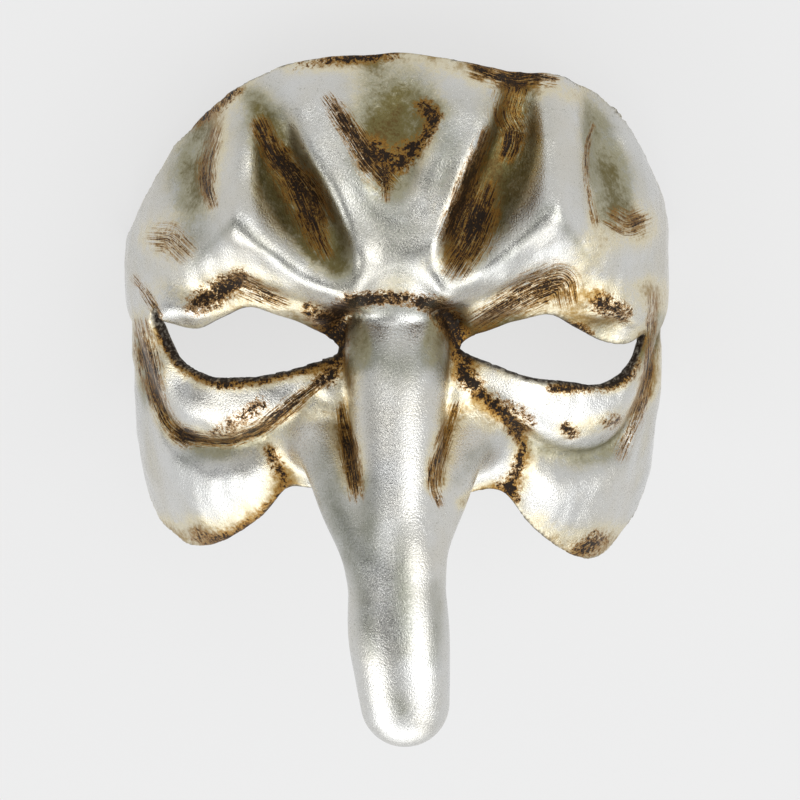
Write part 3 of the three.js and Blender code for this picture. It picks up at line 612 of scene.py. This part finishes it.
class Grid:
    """A function of (x, y) kept on a fine grid and read between its points."""

    def __init__(self, function, reach_x, low_y, high_y, step):
        self.start = (-reach_x, low_y)
        self.step = step
        gx, gy = np.meshgrid(np.arange(-reach_x, reach_x + step, step), np.arange(low_y, high_y + step, step))
        self.values = function(gx, gy)

    def __call__(self, x, y):
        rows, columns = self.values.shape
        u = np.clip((x - self.start[0]) / self.step, 0, columns - 1.001)
        v = np.clip((y - self.start[1]) / self.step, 0, rows - 1.001)
        i, j = u.astype(int), v.astype(int)
        fu, fv = u - i, v - j
        low = self.values[j, i] * (1 - fu) + self.values[j, i + 1] * fu
        high = self.values[j + 1, i] * (1 - fu) + self.values[j + 1, i + 1] * fu
        return low * (1 - fv) + high * fv

    def hollows(self, spread):
        """The same grid, less its own average over `spread`, turned over: more in the hollows."""
        reach = int(round(2 * spread / self.step))
        weights = np.exp(-0.5 * (np.arange(-reach, reach + 1) * self.step / spread) ** 2)
        weights /= weights.sum()
        padded = np.pad(self.values, reach, mode="edge")
        for axis in (0, 1):
            padded = np.apply_along_axis(np.convolve, axis, padded, weights, mode="valid")
        other = object.__new__(Grid)
        other.start, other.step, other.values = self.start, self.step, padded - self.values
        return other


def dome(x, y, z):
    """Signed distance, nearly, to the plain dome of the face."""
    x = x * (1 + TOP_LEFT_LEAN * ease(0, HALF_WIDTH / 2, y) * np.clip(-x / LEAN_FULL_X, 0, 1))
    reach_y = np.where(y > 0, FOREHEAD_REACH, CHIN_REACH)
    pow_y = np.where(y > 0, ROUND_TOP, ROUND_LOW)
    pow_x = ROUND_ACROSS_LOW + (ROUND_ACROSS_TOP - ROUND_ACROSS_LOW) * ease(*ROUND_ACROSS_Y, y)
    ux, uy, uz = np.abs(x) / HALF_WIDTH, np.abs(y) / reach_y, np.abs(z) / FACE_DEPTH
    total = np.maximum(ux ** pow_x + uy ** pow_y + uz ** ROUND_OUT, 1e-6)
    slope = np.sqrt((pow_x * ux ** (pow_x - 1) / HALF_WIDTH) ** 2 + (pow_y * uy ** (pow_y - 1) / reach_y) ** 2
                    + (ROUND_OUT * uz ** (ROUND_OUT - 1) / FACE_DEPTH) ** 2)
    size = total ** (1 / ROUND_OUT)
    return (size - 1) / np.maximum(slope * size / (total * ROUND_OUT), 1e-3)


def chain_distance(x, y, z, balls):
    """Distance to a chain of balls joined by cones."""
    best = np.full(x.shape, np.inf)
    line = smooth_line(balls, CHAIN_STEPS)
    for a, b in zip(line[:-1], line[1:]):
        d = b[:3] - a[:3]
        along = (x - a[0]) * d[0] + (y - a[1]) * d[1] + (z - a[2]) * d[2]
        s = np.clip(along / (d @ d), 0, 1)
        away = np.sqrt((x - a[0] - s * d[0]) ** 2 + (y - a[1] - s * d[1]) ** 2 + (z - a[2] - s * d[2]) ** 2)
        best = np.minimum(best, away - a[3] - s * (b[3] - a[3]))
    return best


def blend(a, b, width):
    """Distance to either of two forms, filleted over `width` where they meet."""
    h = np.maximum(width - np.abs(a - b), 0) / width
    return np.minimum(a, b) - h * h * width * 0.25


def both(a, b, width):
    """Distance to what two forms share, rounded over `width` at its edges."""
    return -blend(-a, -b, width)


def outline_distance(x, y, points):
    """Distance from each (x, y) to a closed outline, below zero inside it."""
    near = np.full(x.shape, np.inf)
    inside = np.zeros(x.shape, bool)
    for (x0, y0), (x1, y1) in zip(points, np.roll(points, -1, axis=0)):
        dx, dy = x1 - x0, y1 - y0
        s = np.clip(((x - x0) * dx + (y - y0) * dy) / (dx * dx + dy * dy), 0, 1)
        near = np.minimum(near, (x - x0 - s * dx) ** 2 + (y - y0 - s * dy) ** 2)
        if dy:
            inside ^= ((y0 > y) != (y1 > y)) & (x < dx * (y - y0) / dy + x0)
    return np.where(inside, -1, 1) * np.sqrt(near)


class Face:
    """The mask's shape: below zero in the papier-mache."""

    def __init__(self, wall, edge_round):
        self.wall = wall
        self.edge_round = edge_round
        self.relief = Grid(relief_exact, *RELIEF_GRID)
        eyes = [smooth_line(eye, OUTLINE_STEPS, closed=True) for eye in (LEFT_EYE, RIGHT_EYE)]
        outline = smooth_line(OUTLINE, OUTLINE_STEPS, closed=True)
        self.eyes = Grid(lambda x, y: np.minimum(*(outline_distance(x, y, eye) for eye in eyes)), *EYE_GRID)
        self.trim = Grid(lambda x, y: outline_distance(x, y, outline), *OUTLINE_GRID)

    def nose(self, skin, x, y, z):
        """Adds the nose and its wings to the skin of the face."""
        reach_x, from_z, to_y = CHAIN_NEAR
        near = (np.abs(x) < reach_x) & (z > from_z) & (y < to_y)
        x, y, z, plain = x[near], y[near], z[near], skin[near]
        slimmer = RIGHT_WING_SLIM * ease(*SLIM_OVER_X, x) * ease(*SLIM_OVER_Z, z)
        wing = chain_distance(np.abs(x) + slimmer, y, z, NOSE_WING)
        sides = blend(wing, chain_distance(x, y, z, NOSE_CORE), WING_BLEND)
        skin = skin.copy()
        skin[near] = blend(blend(plain, sides, WING_BLEND), chain_distance(x, y, z, NOSE), NOSE_BLEND)
        return skin

    def outside(self, x, y, z):
        return self.nose(dome(x, y, z) - self.relief(x, y) - unevenness(x, y, z), x, y, z)

    def openings(self, x, y, z):
        """Distances to the eye holes, the trimmed outline and the back rim, below zero in the shell."""
        near = np.maximum((z - CUT_POINT_Z) / (CUT_LEVEL - CUT_POINT_Z), 0.1)
        flat_x, flat_y = x / near, y / near
        eye = -self.eyes(flat_x, flat_y) * near
        trim = np.maximum(self.trim(flat_x, flat_y) * near, FAR_INSIDE)
        trim = np.where(z > NOSE_CLEAR_Z, FAR_INSIDE, trim)
        rim_y, rim_z = np.array(BACK_RIM, float).T
        return eye, trim, np.interp(y, rim_y, rim_z) - z

    def side(self, points, normals, step=0.4):
        """+1 on the outer skin, -1 on the inner one, near 0 on the cut edges between them."""
        ahead = points + step * normals
        return (self.outside(*ahead.T) - self.outside(*points.T)) / step

    def __call__(self, points, side):
        x, y, z = points.T
        skin = self.outside(x, y, z)
        inner = -self.wall - skin
        shell = np.where(side > SIDE_SURE, skin, np.where(side < -SIDE_SURE, inner, np.maximum(skin, inner)))
        return both(shell, np.maximum.reduce(self.openings(x, y, z)), self.edge_round)


def unevenness(x, y, z):
    """Small hand-made lumps, as waves of several lengths in set directions."""
    total = np.zeros(x.shape)
    for number, (length, height) in enumerate(LUMPS):
        turn = number * GOLDEN_TURN
        tilt = math.sin(number * LUMP_TILT_STEP)
        across = x * math.cos(turn) + y * math.sin(turn) + z * tilt
        total += height * np.sin(2 * math.pi * across / length + number * LUMP_SHIFT_STEP)
    return total


def drawn_onto(shape, points, normals, rounds=4, probe=0.05, reach=5.0):
    """Moves points onto the shape's surface along its slope, by at most `reach`."""
    start = points.copy()
    side = shape.side(points, normals)
    for _ in range(rounds):
        value = shape(points, side)
        slope = np.empty_like(points)
        for axis in range(3):
            ahead = points.copy()
            ahead[:, axis] += probe
            slope[:, axis] = (shape(ahead, side) - value) / probe
        square = np.maximum((slope ** 2).sum(1), 0.1)
        points = points - (value / square)[:, None] * slope
    moved = points - start
    length = np.linalg.norm(moved, axis=1)
    return start + moved * np.minimum(1, reach / np.maximum(length, 1e-9))[:, None]


def corners_of(mesh, what):
    """The places ("co") or normals ("normal") of the mesh's corners."""
    flat = np.empty(len(mesh.vertices) * 3)
    mesh.vertices.foreach_get(what, flat)
    return flat.reshape(-1, 3)


def set_vertices(mesh, points):
    mesh.vertices.foreach_set("co", points.ravel())
    mesh.update()


def select_only(piece):
    bpy.ops.object.select_all(action="DESELECT")
    piece.select_set(True)
    bpy.context.view_layer.objects.active = piece


def paint(mesh, name, values, kind="FLOAT"):
    """Keeps a value for each corner of the mesh, for the material to read."""
    layer = mesh.attributes.new(name, kind, "POINT")
    layer.data.foreach_set("value" if kind == "FLOAT" else "vector", values.astype(np.float32).ravel())


def camera_axes():
    """Which way is back to the camera, up and right in its view."""
    back = np.array([0, math.sin(CAMERA_TILT), math.cos(CAMERA_TILT)])
    up = np.array([0, math.cos(CAMERA_TILT), -math.sin(CAMERA_TILT)])
    return back, up, np.array([1.0, 0, 0])


def camera_place():
    back, up, right = camera_axes()
    return back * CAMERA_DISTANCE + up * CAMERA_LOW + right * CAMERA_RIGHT


def seen_from_front(points):
    """Where points of the face stand in the front view, as (right, up) in millimetres."""
    back, up, right = camera_axes()
    ray = points - camera_place()
    depth = -(ray @ back)
    return FRONT_DISTANCE * (ray @ right) / depth, FRONT_DISTANCE * (ray @ up) / depth


def painted(marks, u, v, soft=0.6):
    """How strongly the marks cover each place, and (across, along) the brush there."""
    bare = np.ones(u.shape)
    strongest = np.zeros(u.shape)
    grain = np.stack([u, v, np.zeros(u.shape)], axis=1)
    for number, rows in enumerate(marks.values()):
        line = smooth_line(rows, MARK_STEPS)
        reach = MARK_REACH * line[:, 3].max()
        close = ((u > line[:, 0].min() - reach) & (u < line[:, 0].max() + reach)
                 & (v > line[:, 1].min() - reach) & (v < line[:, 1].max() + reach))
        near, found, along, across = nearest_on(line, u[close], v[close], soft)
        cover = found[:, 0] * np.exp(-(near / found[:, 1]) ** 2)
        bare[close] *= 1 - np.clip(cover, 0, 1)
        wins = cover > strongest[close]
        index = np.flatnonzero(close)[wins]
        strongest[index] = cover[wins]
        grain[index] = np.stack([across[wins], along[wins] + APART_ALONG * number,
                                 np.full(wins.sum(), APART_DEEP * number)], axis=1)
    return 1 - bare, grain


def paint_patina(piece, shape, points):
    """Keeps on the mesh where the patina lies, with painted shade in the hollows, which way it was
    brushed, and where the inside is.
    """
    mesh = piece.data
    x, y, z = points.T
    depth = -shape.outside(x, y, z)
    to_cut = -np.maximum.reduce(shape.openings(x, y, z))
    skin = ease(*SKIN, depth)
    facing = ease(*TURNED_TO_FRONT, corners_of(mesh, "normal") @ camera_axes()[0]) * skin
    u, v = seen_from_front(points)
    streaks, grain = painted(STREAKS, u, v)
    speckles, glaze, tarnish_and_shade = (painted(marks, u, v)[0] for marks in (SPECKLES, GLAZE, TARNISH_AND_SHADE))
    fine, wide = (shape.relief.hollows(spread)(x, y) for spread in HOLLOW_SPREADS)
    hollow = np.clip(fine / HOLLOW_FULL, 0, 1) * skin
    broad = np.clip(wide / BROAD_FULL, 0, 1) * skin
    kept = 1 - RUBBED_BARE * np.clip(-fine / RAISED_FULL, 0, 1)
    edge = np.exp(-(to_cut / EDGE_WIDTH) ** 2) * skin
    glaze = np.maximum(glaze * facing, HOLLOW_GLAZE * hollow) * kept + EDGE_GLAZE * edge
    # Painted shade: the fine and broad hollows get tarnish by their depth, on top of the marks
    tarnish_and_shade = tarnish_and_shade * facing + HOLLOW_SHADE_AND_TARNISH * hollow + BROAD_SHADE_AND_TARNISH * broad
    paint(mesh, "streaks", streaks * facing)
    paint(mesh, "speckles", speckles * facing)
    paint(mesh, "glaze", np.clip(glaze, 0, 1))
    paint(mesh, "tarnish_and_shade", np.clip(tarnish_and_shade, 0, 1))
    paint(mesh, "below", ease(*INSIDE, depth))
    paint(mesh, "cut", ease(*CUT_EDGE, to_cut) * ease(*CUT_UNDER_SKIN, depth))
    paint(mesh, "grain", grain, "FLOAT_VECTOR")


class MASK_OT_shell(bpy.types.Operator):
    """Build the silvered shell of the mask"""
    bl_idname = "mask.shell"
    bl_label = "Mask Shell"

    def execute(self, context):
        sizes = context.scene.mask_sizes
        select_only(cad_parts[NODE])
        bpy.ops.object.duplicate()
        piece = context.active_object
        piece.name = "silvered_shell"
        bpy.ops.object.mode_set(mode="EDIT")
        bpy.ops.mesh.select_all(action="SELECT")
        bpy.ops.mesh.remove_doubles(threshold=MERGE_DISTANCE)
        bpy.ops.object.mode_set(mode="OBJECT")
        remesh = piece.modifiers.new("Fine mesh", "REMESH")
        remesh.mode = "VOXEL"
        remesh.voxel_size = sizes.voxel
        bpy.ops.object.modifier_apply(modifier=remesh.name)
        shape = Face(sizes.wall / MM, sizes.edge_round / MM)
        shift = np.array([0, FACE_CENTRE_Y, 0])
        corners = corners_of(piece.data, "co") / MM - shift
        points = drawn_onto(shape, corners, corners_of(piece.data, "normal"))
        set_vertices(piece.data, fitted((points + shift) * MM))
        bpy.ops.object.shade_smooth()
        paint_patina(piece, shape, points)
        piece.data.materials.clear()
        piece.data.materials.append(silver_leaf(context.scene.mask_colours))
        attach(piece, "root")
        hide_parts(NODE)
        return {"FINISHED"}


def fitted(points):
    """Eases the fine form into the box of the solid."""
    low, high = (np.array(c) for c in CAD_BOX)
    scale = np.minimum(1, (high - low) / (points.max(0) - points.min(0)))
    middle = (points.max(0) + points.min(0)) / 2
    inside = np.clip((low + high) / 2 - middle, -MM, MM)
    return (points - middle) * scale + middle + inside


class Nodes:
    """Adds nodes to a material or a world, with inputs given by name."""

    def __init__(self, owner, shader):
        owner.use_nodes = True
        self.tree = owner.node_tree
        self.shader = self.tree.nodes[shader]

    def join(self, value, socket):
        if isinstance(value, bpy.types.NodeSocket):
            self.tree.links.new(value, socket)
        else:
            socket.default_value = value

    def add(self, kind, output=0, settings=None, **inputs):
        node = self.tree.nodes.new(kind)
        for name, value in (settings or {}).items():
            setattr(node, name, value)
        for name, value in inputs.items():
            self.join(value, node.inputs[name.replace("_", " ")])
        return node.outputs[output]

    def attribute(self, name, output="Fac"):
        return self.add("ShaderNodeAttribute", output, {"attribute_name": name})

    def math(self, operation, a, b=0.0, c=None, clamp=False):
        node = self.tree.nodes.new("ShaderNodeMath")
        node.operation = operation
        node.use_clamp = clamp
        for value, socket in zip((a, b, c), node.inputs):
            if value is not None:
                self.join(value, socket)
        return node.outputs[0]

    def dot(self, vector, direction):
        node = self.tree.nodes.new("ShaderNodeVectorMath")
        node.operation = "DOT_PRODUCT"
        for value, socket in zip((vector, direction), node.inputs):
            self.join(value, socket)
        return node.outputs["Value"]

    def spread(self, value, low, high, to_low=0.0, to_high=1.0):
        """Eases a value from low..high to to_low..to_high."""
        return self.add("ShaderNodeMapRange", 0, {"interpolation_type": "SMOOTHSTEP"}, Value=value,
                        From_Min=low, From_Max=high, To_Min=to_low, To_Max=to_high)

    def broken_up(self, patterns, strengths):
        """Patterns turned into values of both signs, each as strong as given, and added up."""
        total = None
        for name, strength in strengths.items():
            signed = self.math("MULTIPLY", self.math("SUBTRACT", patterns[name], 0.5), strength)
            total = signed if total is None else self.math("ADD", total, signed)
        return total

    def mix(self, factor, a, b):
        """Mixes two colours, each a socket or three numbers."""
        node = self.tree.nodes.new("ShaderNodeMix")
        node.data_type = "RGBA"
        self.join(factor, node.inputs["Factor"])
        for value, socket in ((a, MIX_FIRST), (b, MIX_SECOND)):
            self.join(value if isinstance(value, bpy.types.NodeSocket) else (*value, 1), node.inputs[socket])
        return node.outputs[MIX_RESULT]

    def scaled(self, vector, scale, turn=(0, 0, 0)):
        return self.add("ShaderNodeMapping", 0, None, Vector=vector, Scale=scale, Rotation=turn)

    def noise(self, vector, scale, detail=2.0, roughness=0.5, distortion=0.0):
        return self.add("ShaderNodeTexNoise", 0, None, Vector=vector, Scale=scale, Detail=detail,
                        Roughness=roughness, Distortion=distortion)


def patterns_of(n, place, grain):
    """The fine patterns: dabs, clouds and mottling over the leaf, and brush hairs along the strokes."""
    patterns = {name: n.noise(place, *values) for name, values in PATTERNS.items()}
    for name, (scale, turn, distortion) in HAIRS.items():
        patterns[name] = n.noise(n.scaled(grain, scale, turn), 1.0, HAIR_DETAIL, HAIR_ROUGHNESS, distortion)
    return patterns


def dark_paint(n, patterns, streaks, speckles):
    """How far each place is washed, thinly painted and thickly painted, dragged or dabbed."""
    flecks = n.spread(patterns["flecks"], *MISSED_FLECKS)
    strokes = []
    for where, strength, edges in ((streaks, STREAK_STRENGTH, STREAK_EDGES),
                                   (speckles, SPECKLE_STRENGTH, SPECKLE_EDGES)):
        paint = n.math("ADD", n.math("MULTIPLY_ADD", where, strength, flecks), n.broken_up(patterns, edges))
        strokes.append((paint, n.spread(where, *NEAR_STROKE)))
    return [n.math("MAXIMUM", *(n.math("MULTIPLY", n.spread(paint, *level), near) for paint, near in strokes))
            for level in PAINT_LEVELS]


def thin_glaze(n, patterns, streaks, speckles):
    """How thick the glaze lies, more of it round the paint and where the brush left it."""
    round_paint = n.math("MULTIPLY", n.math("MAXIMUM", streaks, speckles), GATHERED_GLAZE)
    soft = n.math("ADD", n.attribute("glaze"), round_paint, clamp=True)
    brushed = n.math("MULTIPLY", n.broken_up(patterns, BRUSHED_GLAZE), n.spread(streaks, *BRUSH_SHOWS))
    uneven = n.math("ADD", n.broken_up(patterns, GLAZE_EDGES), brushed)
    return n.math("ADD", soft, n.math("MULTIPLY", uneven, n.spread(soft, *UNEVEN_SHOWS)), clamp=True)


def silver_leaf(colours):
    """Burnished silver leaf, dulled and glazed, with dark paint dragged and dabbed into the hollows, and
    painted shade and painted dim reflections where it is dulled.
    """
    material = bpy.data.materials.new("silver_leaf")
    n = Nodes(material, "Principled BSDF")
    place = n.add("ShaderNodeTexCoord", "Object")
    patterns = patterns_of(n, place, n.attribute("grain", "Vector"))
    clouds, mottle = patterns["clouds"], patterns["mottle"]
    streaks, speckles = n.attribute("streaks"), n.attribute("speckles")
    wash, thin, thick = dark_paint(n, patterns, streaks, speckles)
    glaze = thin_glaze(n, patterns, streaks, speckles)
    below, cut = n.attribute("below"), n.attribute("cut")

    # Bare leaf, a little yellowed in wide clouds, dulled in places and worn in small specks; the dulled
    # places also hold painted shade and painted dim reflections
    patchy = n.spread(n.math("ADD", mottle, clouds), *DULL_PATCHES)
    dull_and_shade = n.math("MULTIPLY", n.attribute("tarnish_and_shade"), patchy)
    aged = n.spread(n.math("MULTIPLY_ADD", clouds, CLOUDS_IN_YELLOW, patterns["wide clouds"]), *YELLOWED)
    worn = n.math("MULTIPLY", n.spread(mottle, *WORN_SPECKS), n.spread(clouds, *WORN_CLOUDS))
    colour = n.mix(aged, colours.silver, colours.silver_warm)

    # What lies over it, from the leaf up: how strong, and its colour
    fringe = n.mix(n.spread(dull_and_shade, *OLIVE_FRINGE), colours.cream, colours.pale_olive)
    body = n.mix(n.spread(dull_and_shade, *OLIVE_BODY), colours.ochre, colours.olive)
    for cover, tint in (
            # Tarnish colour over dulled leaf, painted shade in the hollows and painted dim reflections
            (n.math("MULTIPLY", dull_and_shade, DULL_AND_SHADE_COVER), colours.tarnish_and_shade),
            (worn, colours.tarnish_and_shade),
            (n.spread(glaze, *FRINGE_COVER), fringe),
            (n.spread(glaze, *BODY_COVER), body),
            (n.spread(glaze, *THICKEST_COVER), colours.umber),
            (n.math("MULTIPLY", wash, WASH_COVER), colours.amber),
            (n.math("MULTIPLY", thin, THIN_COVER), colours.umber),
            (thick, colours.patina),
            (below, colours.inside),
            (n.math("MULTIPLY", cut, n.spread(patterns["dabs"], *CUT_DABS)), colours.patina)):
        colour = n.mix(cover, colour, tint)
    n.join(colour, n.shader.inputs["Base Color"])

    # Leaf shines as metal, and paint and the inside don't
    metal = n.spread(n.math("ADD", thin, thick), *PAINT_METAL)
    for value, limits in ((below, INSIDE_METAL), (cut, CUT_METAL)):
        metal = n.math("MULTIPLY", metal, n.spread(value, *limits))
    n.join(metal, n.shader.inputs["Metallic"])
    n.join(PAINT_SPECULAR, n.shader.inputs["Specular IOR Level"])
    rough = n.math("ADD", n.spread(mottle, *MOTTLE_ROUGHNESS), n.spread(patterns["smears"], *SMEAR_ROUGHNESS))
    for cover, rougher in ((glaze, GLAZE_ROUGHER), (below, INSIDE_ROUGHER), (dull_and_shade, DULL_ROUGHER)):
        rough = n.math("MULTIPLY_ADD", cover, rougher, rough)
    n.join(rough, n.shader.inputs["Roughness"])

    # Scratches lie in three directions over a fine orange-peel grain
    height = n.math("MULTIPLY", mottle, GRAIN_HEIGHT)
    for turn in SCRATCH_TURNS:
        lines = n.noise(n.scaled(place, SCRATCH_SCALE, turn), *SCRATCH_LINES)
        height = n.math("MULTIPLY_ADD", lines, SCRATCH_HEIGHT, height)
    height = n.math("MULTIPLY_ADD", thin, PAINT_HEIGHT, height)
    bump = n.add("ShaderNodeBump", 0, None, Height=height, Strength=1.0, Distance=BUMP_DEPTH)
    n.join(bump, n.shader.inputs["Normal"])
    return material


def towards(azimuth, elevation):
    """The direction at an azimuth from +Y to +X and an elevation, in degrees."""
    turn, rise = math.radians(azimuth), math.radians(elevation)
    return Vector((math.sin(turn) * math.cos(rise), math.cos(turn) * math.cos(rise), math.sin(rise)))


def surround(scene, strength, colour):
    """Pale light from all round, dimmer in the dim patches of the studio."""
    scene.world = scene.world or bpy.data.worlds.new("World")
    n = Nodes(scene.world, "Background")
    look = n.add("ShaderNodeTexCoord", "Generated")
    for azimuth, elevation, ends, full, dim in DIM_PATCHES:
        limits = (math.cos(math.radians(angle)) for angle in (ends, full))
        dimmed = n.spread(n.dot(look, towards(azimuth, elevation)), *limits, 1.0, dim)
        strength = n.math("MULTIPLY", dimmed, strength)
    n.join((*colour, 1), n.shader.inputs["Color"])
    n.join(strength, n.shader.inputs["Strength"])


def soft_panel(name, azimuth, elevation, distance, size, radiance, aim=(0, 0, 0.08)):
    light = bpy.data.lights.new(name, "AREA")
    light.shape = "RECTANGLE"
    light.size, light.size_y = size
    light.energy = radiance * math.pi * size[0] * size[1]
    lamp = bpy.data.objects.new(name, light)
    lamp.location = Vector(aim) + distance * towards(azimuth, elevation)
    lamp.visible_camera = False
    lamp.rotation_euler = towards(azimuth, elevation).to_track_quat("Z", "Y").to_euler()
    bpy.context.scene.collection.objects.link(lamp)


class MASK_OT_stage(bpy.types.Operator):
    """Set the floor, the lights and the camera"""
    bl_idname = "mask.stage"
    bl_label = "Studio"

    def execute(self, context):
        stage = context.scene.mask_stage
        bpy.ops.object.select_all(action="DESELECT")
        bpy.ops.mesh.primitive_plane_add(size=FLOOR_SIZE, location=(0, 0, 0))
        floor = context.active_object
        floor.name = "studio_floor"
        material = bpy.data.materials.new("studio_floor")
        shader = Nodes(material, "Principled BSDF").shader
        for name, value in {"Base Color": (*stage.floor, 1), "Emission Color": (1, 1, 1, 1),
                            "Emission Strength": stage.glow, **FLOOR_FINISH}.items():
            shader.inputs[name].default_value = value
        floor.data.materials.append(material)
        for name, (azimuth, elevation, distance, size, radiance) in PANELS.items():
            soft_panel(name, azimuth, elevation, distance, size, radiance * stage.panels)
        surround(context.scene, stage.room, stage.room_colour)
        context.scene.view_settings.view_transform = "Standard"
        add_camera(context.scene)
        return {"FINISHED"}


def add_camera(scene):
    back, up, right = camera_axes()
    place = camera_place() + np.array([0, FACE_CENTRE_Y, 0])
    lens = bpy.data.cameras.new("camera")
    lens.sensor_width = SENSOR
    lens.lens = CAMERA_LENS
    camera = bpy.data.objects.new("camera", lens)
    turn = Matrix([Vector(axis) for axis in (right, up, back)]).transposed().to_4x4()
    camera.matrix_world = Matrix.Translation(Vector(place) * MM) @ turn
    scene.collection.objects.link(camera)
    scene.camera = camera


class MASK_PT_panel(bpy.types.Panel):
    bl_idname = "MASK_PT_panel"
    bl_label = "Half Mask"
    bl_space_type = "VIEW_3D"
    bl_region_type = "UI"
    bl_category = "Mask"

    def draw(self, context):
        layout = self.layout
        for group in (context.scene.mask_sizes, context.scene.mask_colours, context.scene.mask_stage):
            for name in group.__annotations__:
                layout.prop(group, name)
        layout.operator(MASK_OT_shell.bl_idname)
        layout.operator(MASK_OT_stage.bl_idname)


CLASSES = (MaskSizes, MaskColours, StageSettings, MASK_OT_shell, MASK_OT_stage, MASK_PT_panel)
GROUPS = {"mask_sizes": MaskSizes, "mask_colours": MaskColours, "mask_stage": StageSettings}


def register():
    for cls in CLASSES:
        bpy.utils.register_class(cls)
    for name, group in GROUPS.items():
        setattr(bpy.types.Scene, name, PointerProperty(type=group))


def unregister():
    for name in GROUPS:
        delattr(bpy.types.Scene, name)
    for cls in reversed(CLASSES):
        bpy.utils.unregister_class(cls)


def main():
    register()
    bpy.ops.mask.stage()
    bpy.ops.mask.shell()


if __name__ == "__main__":
    main()
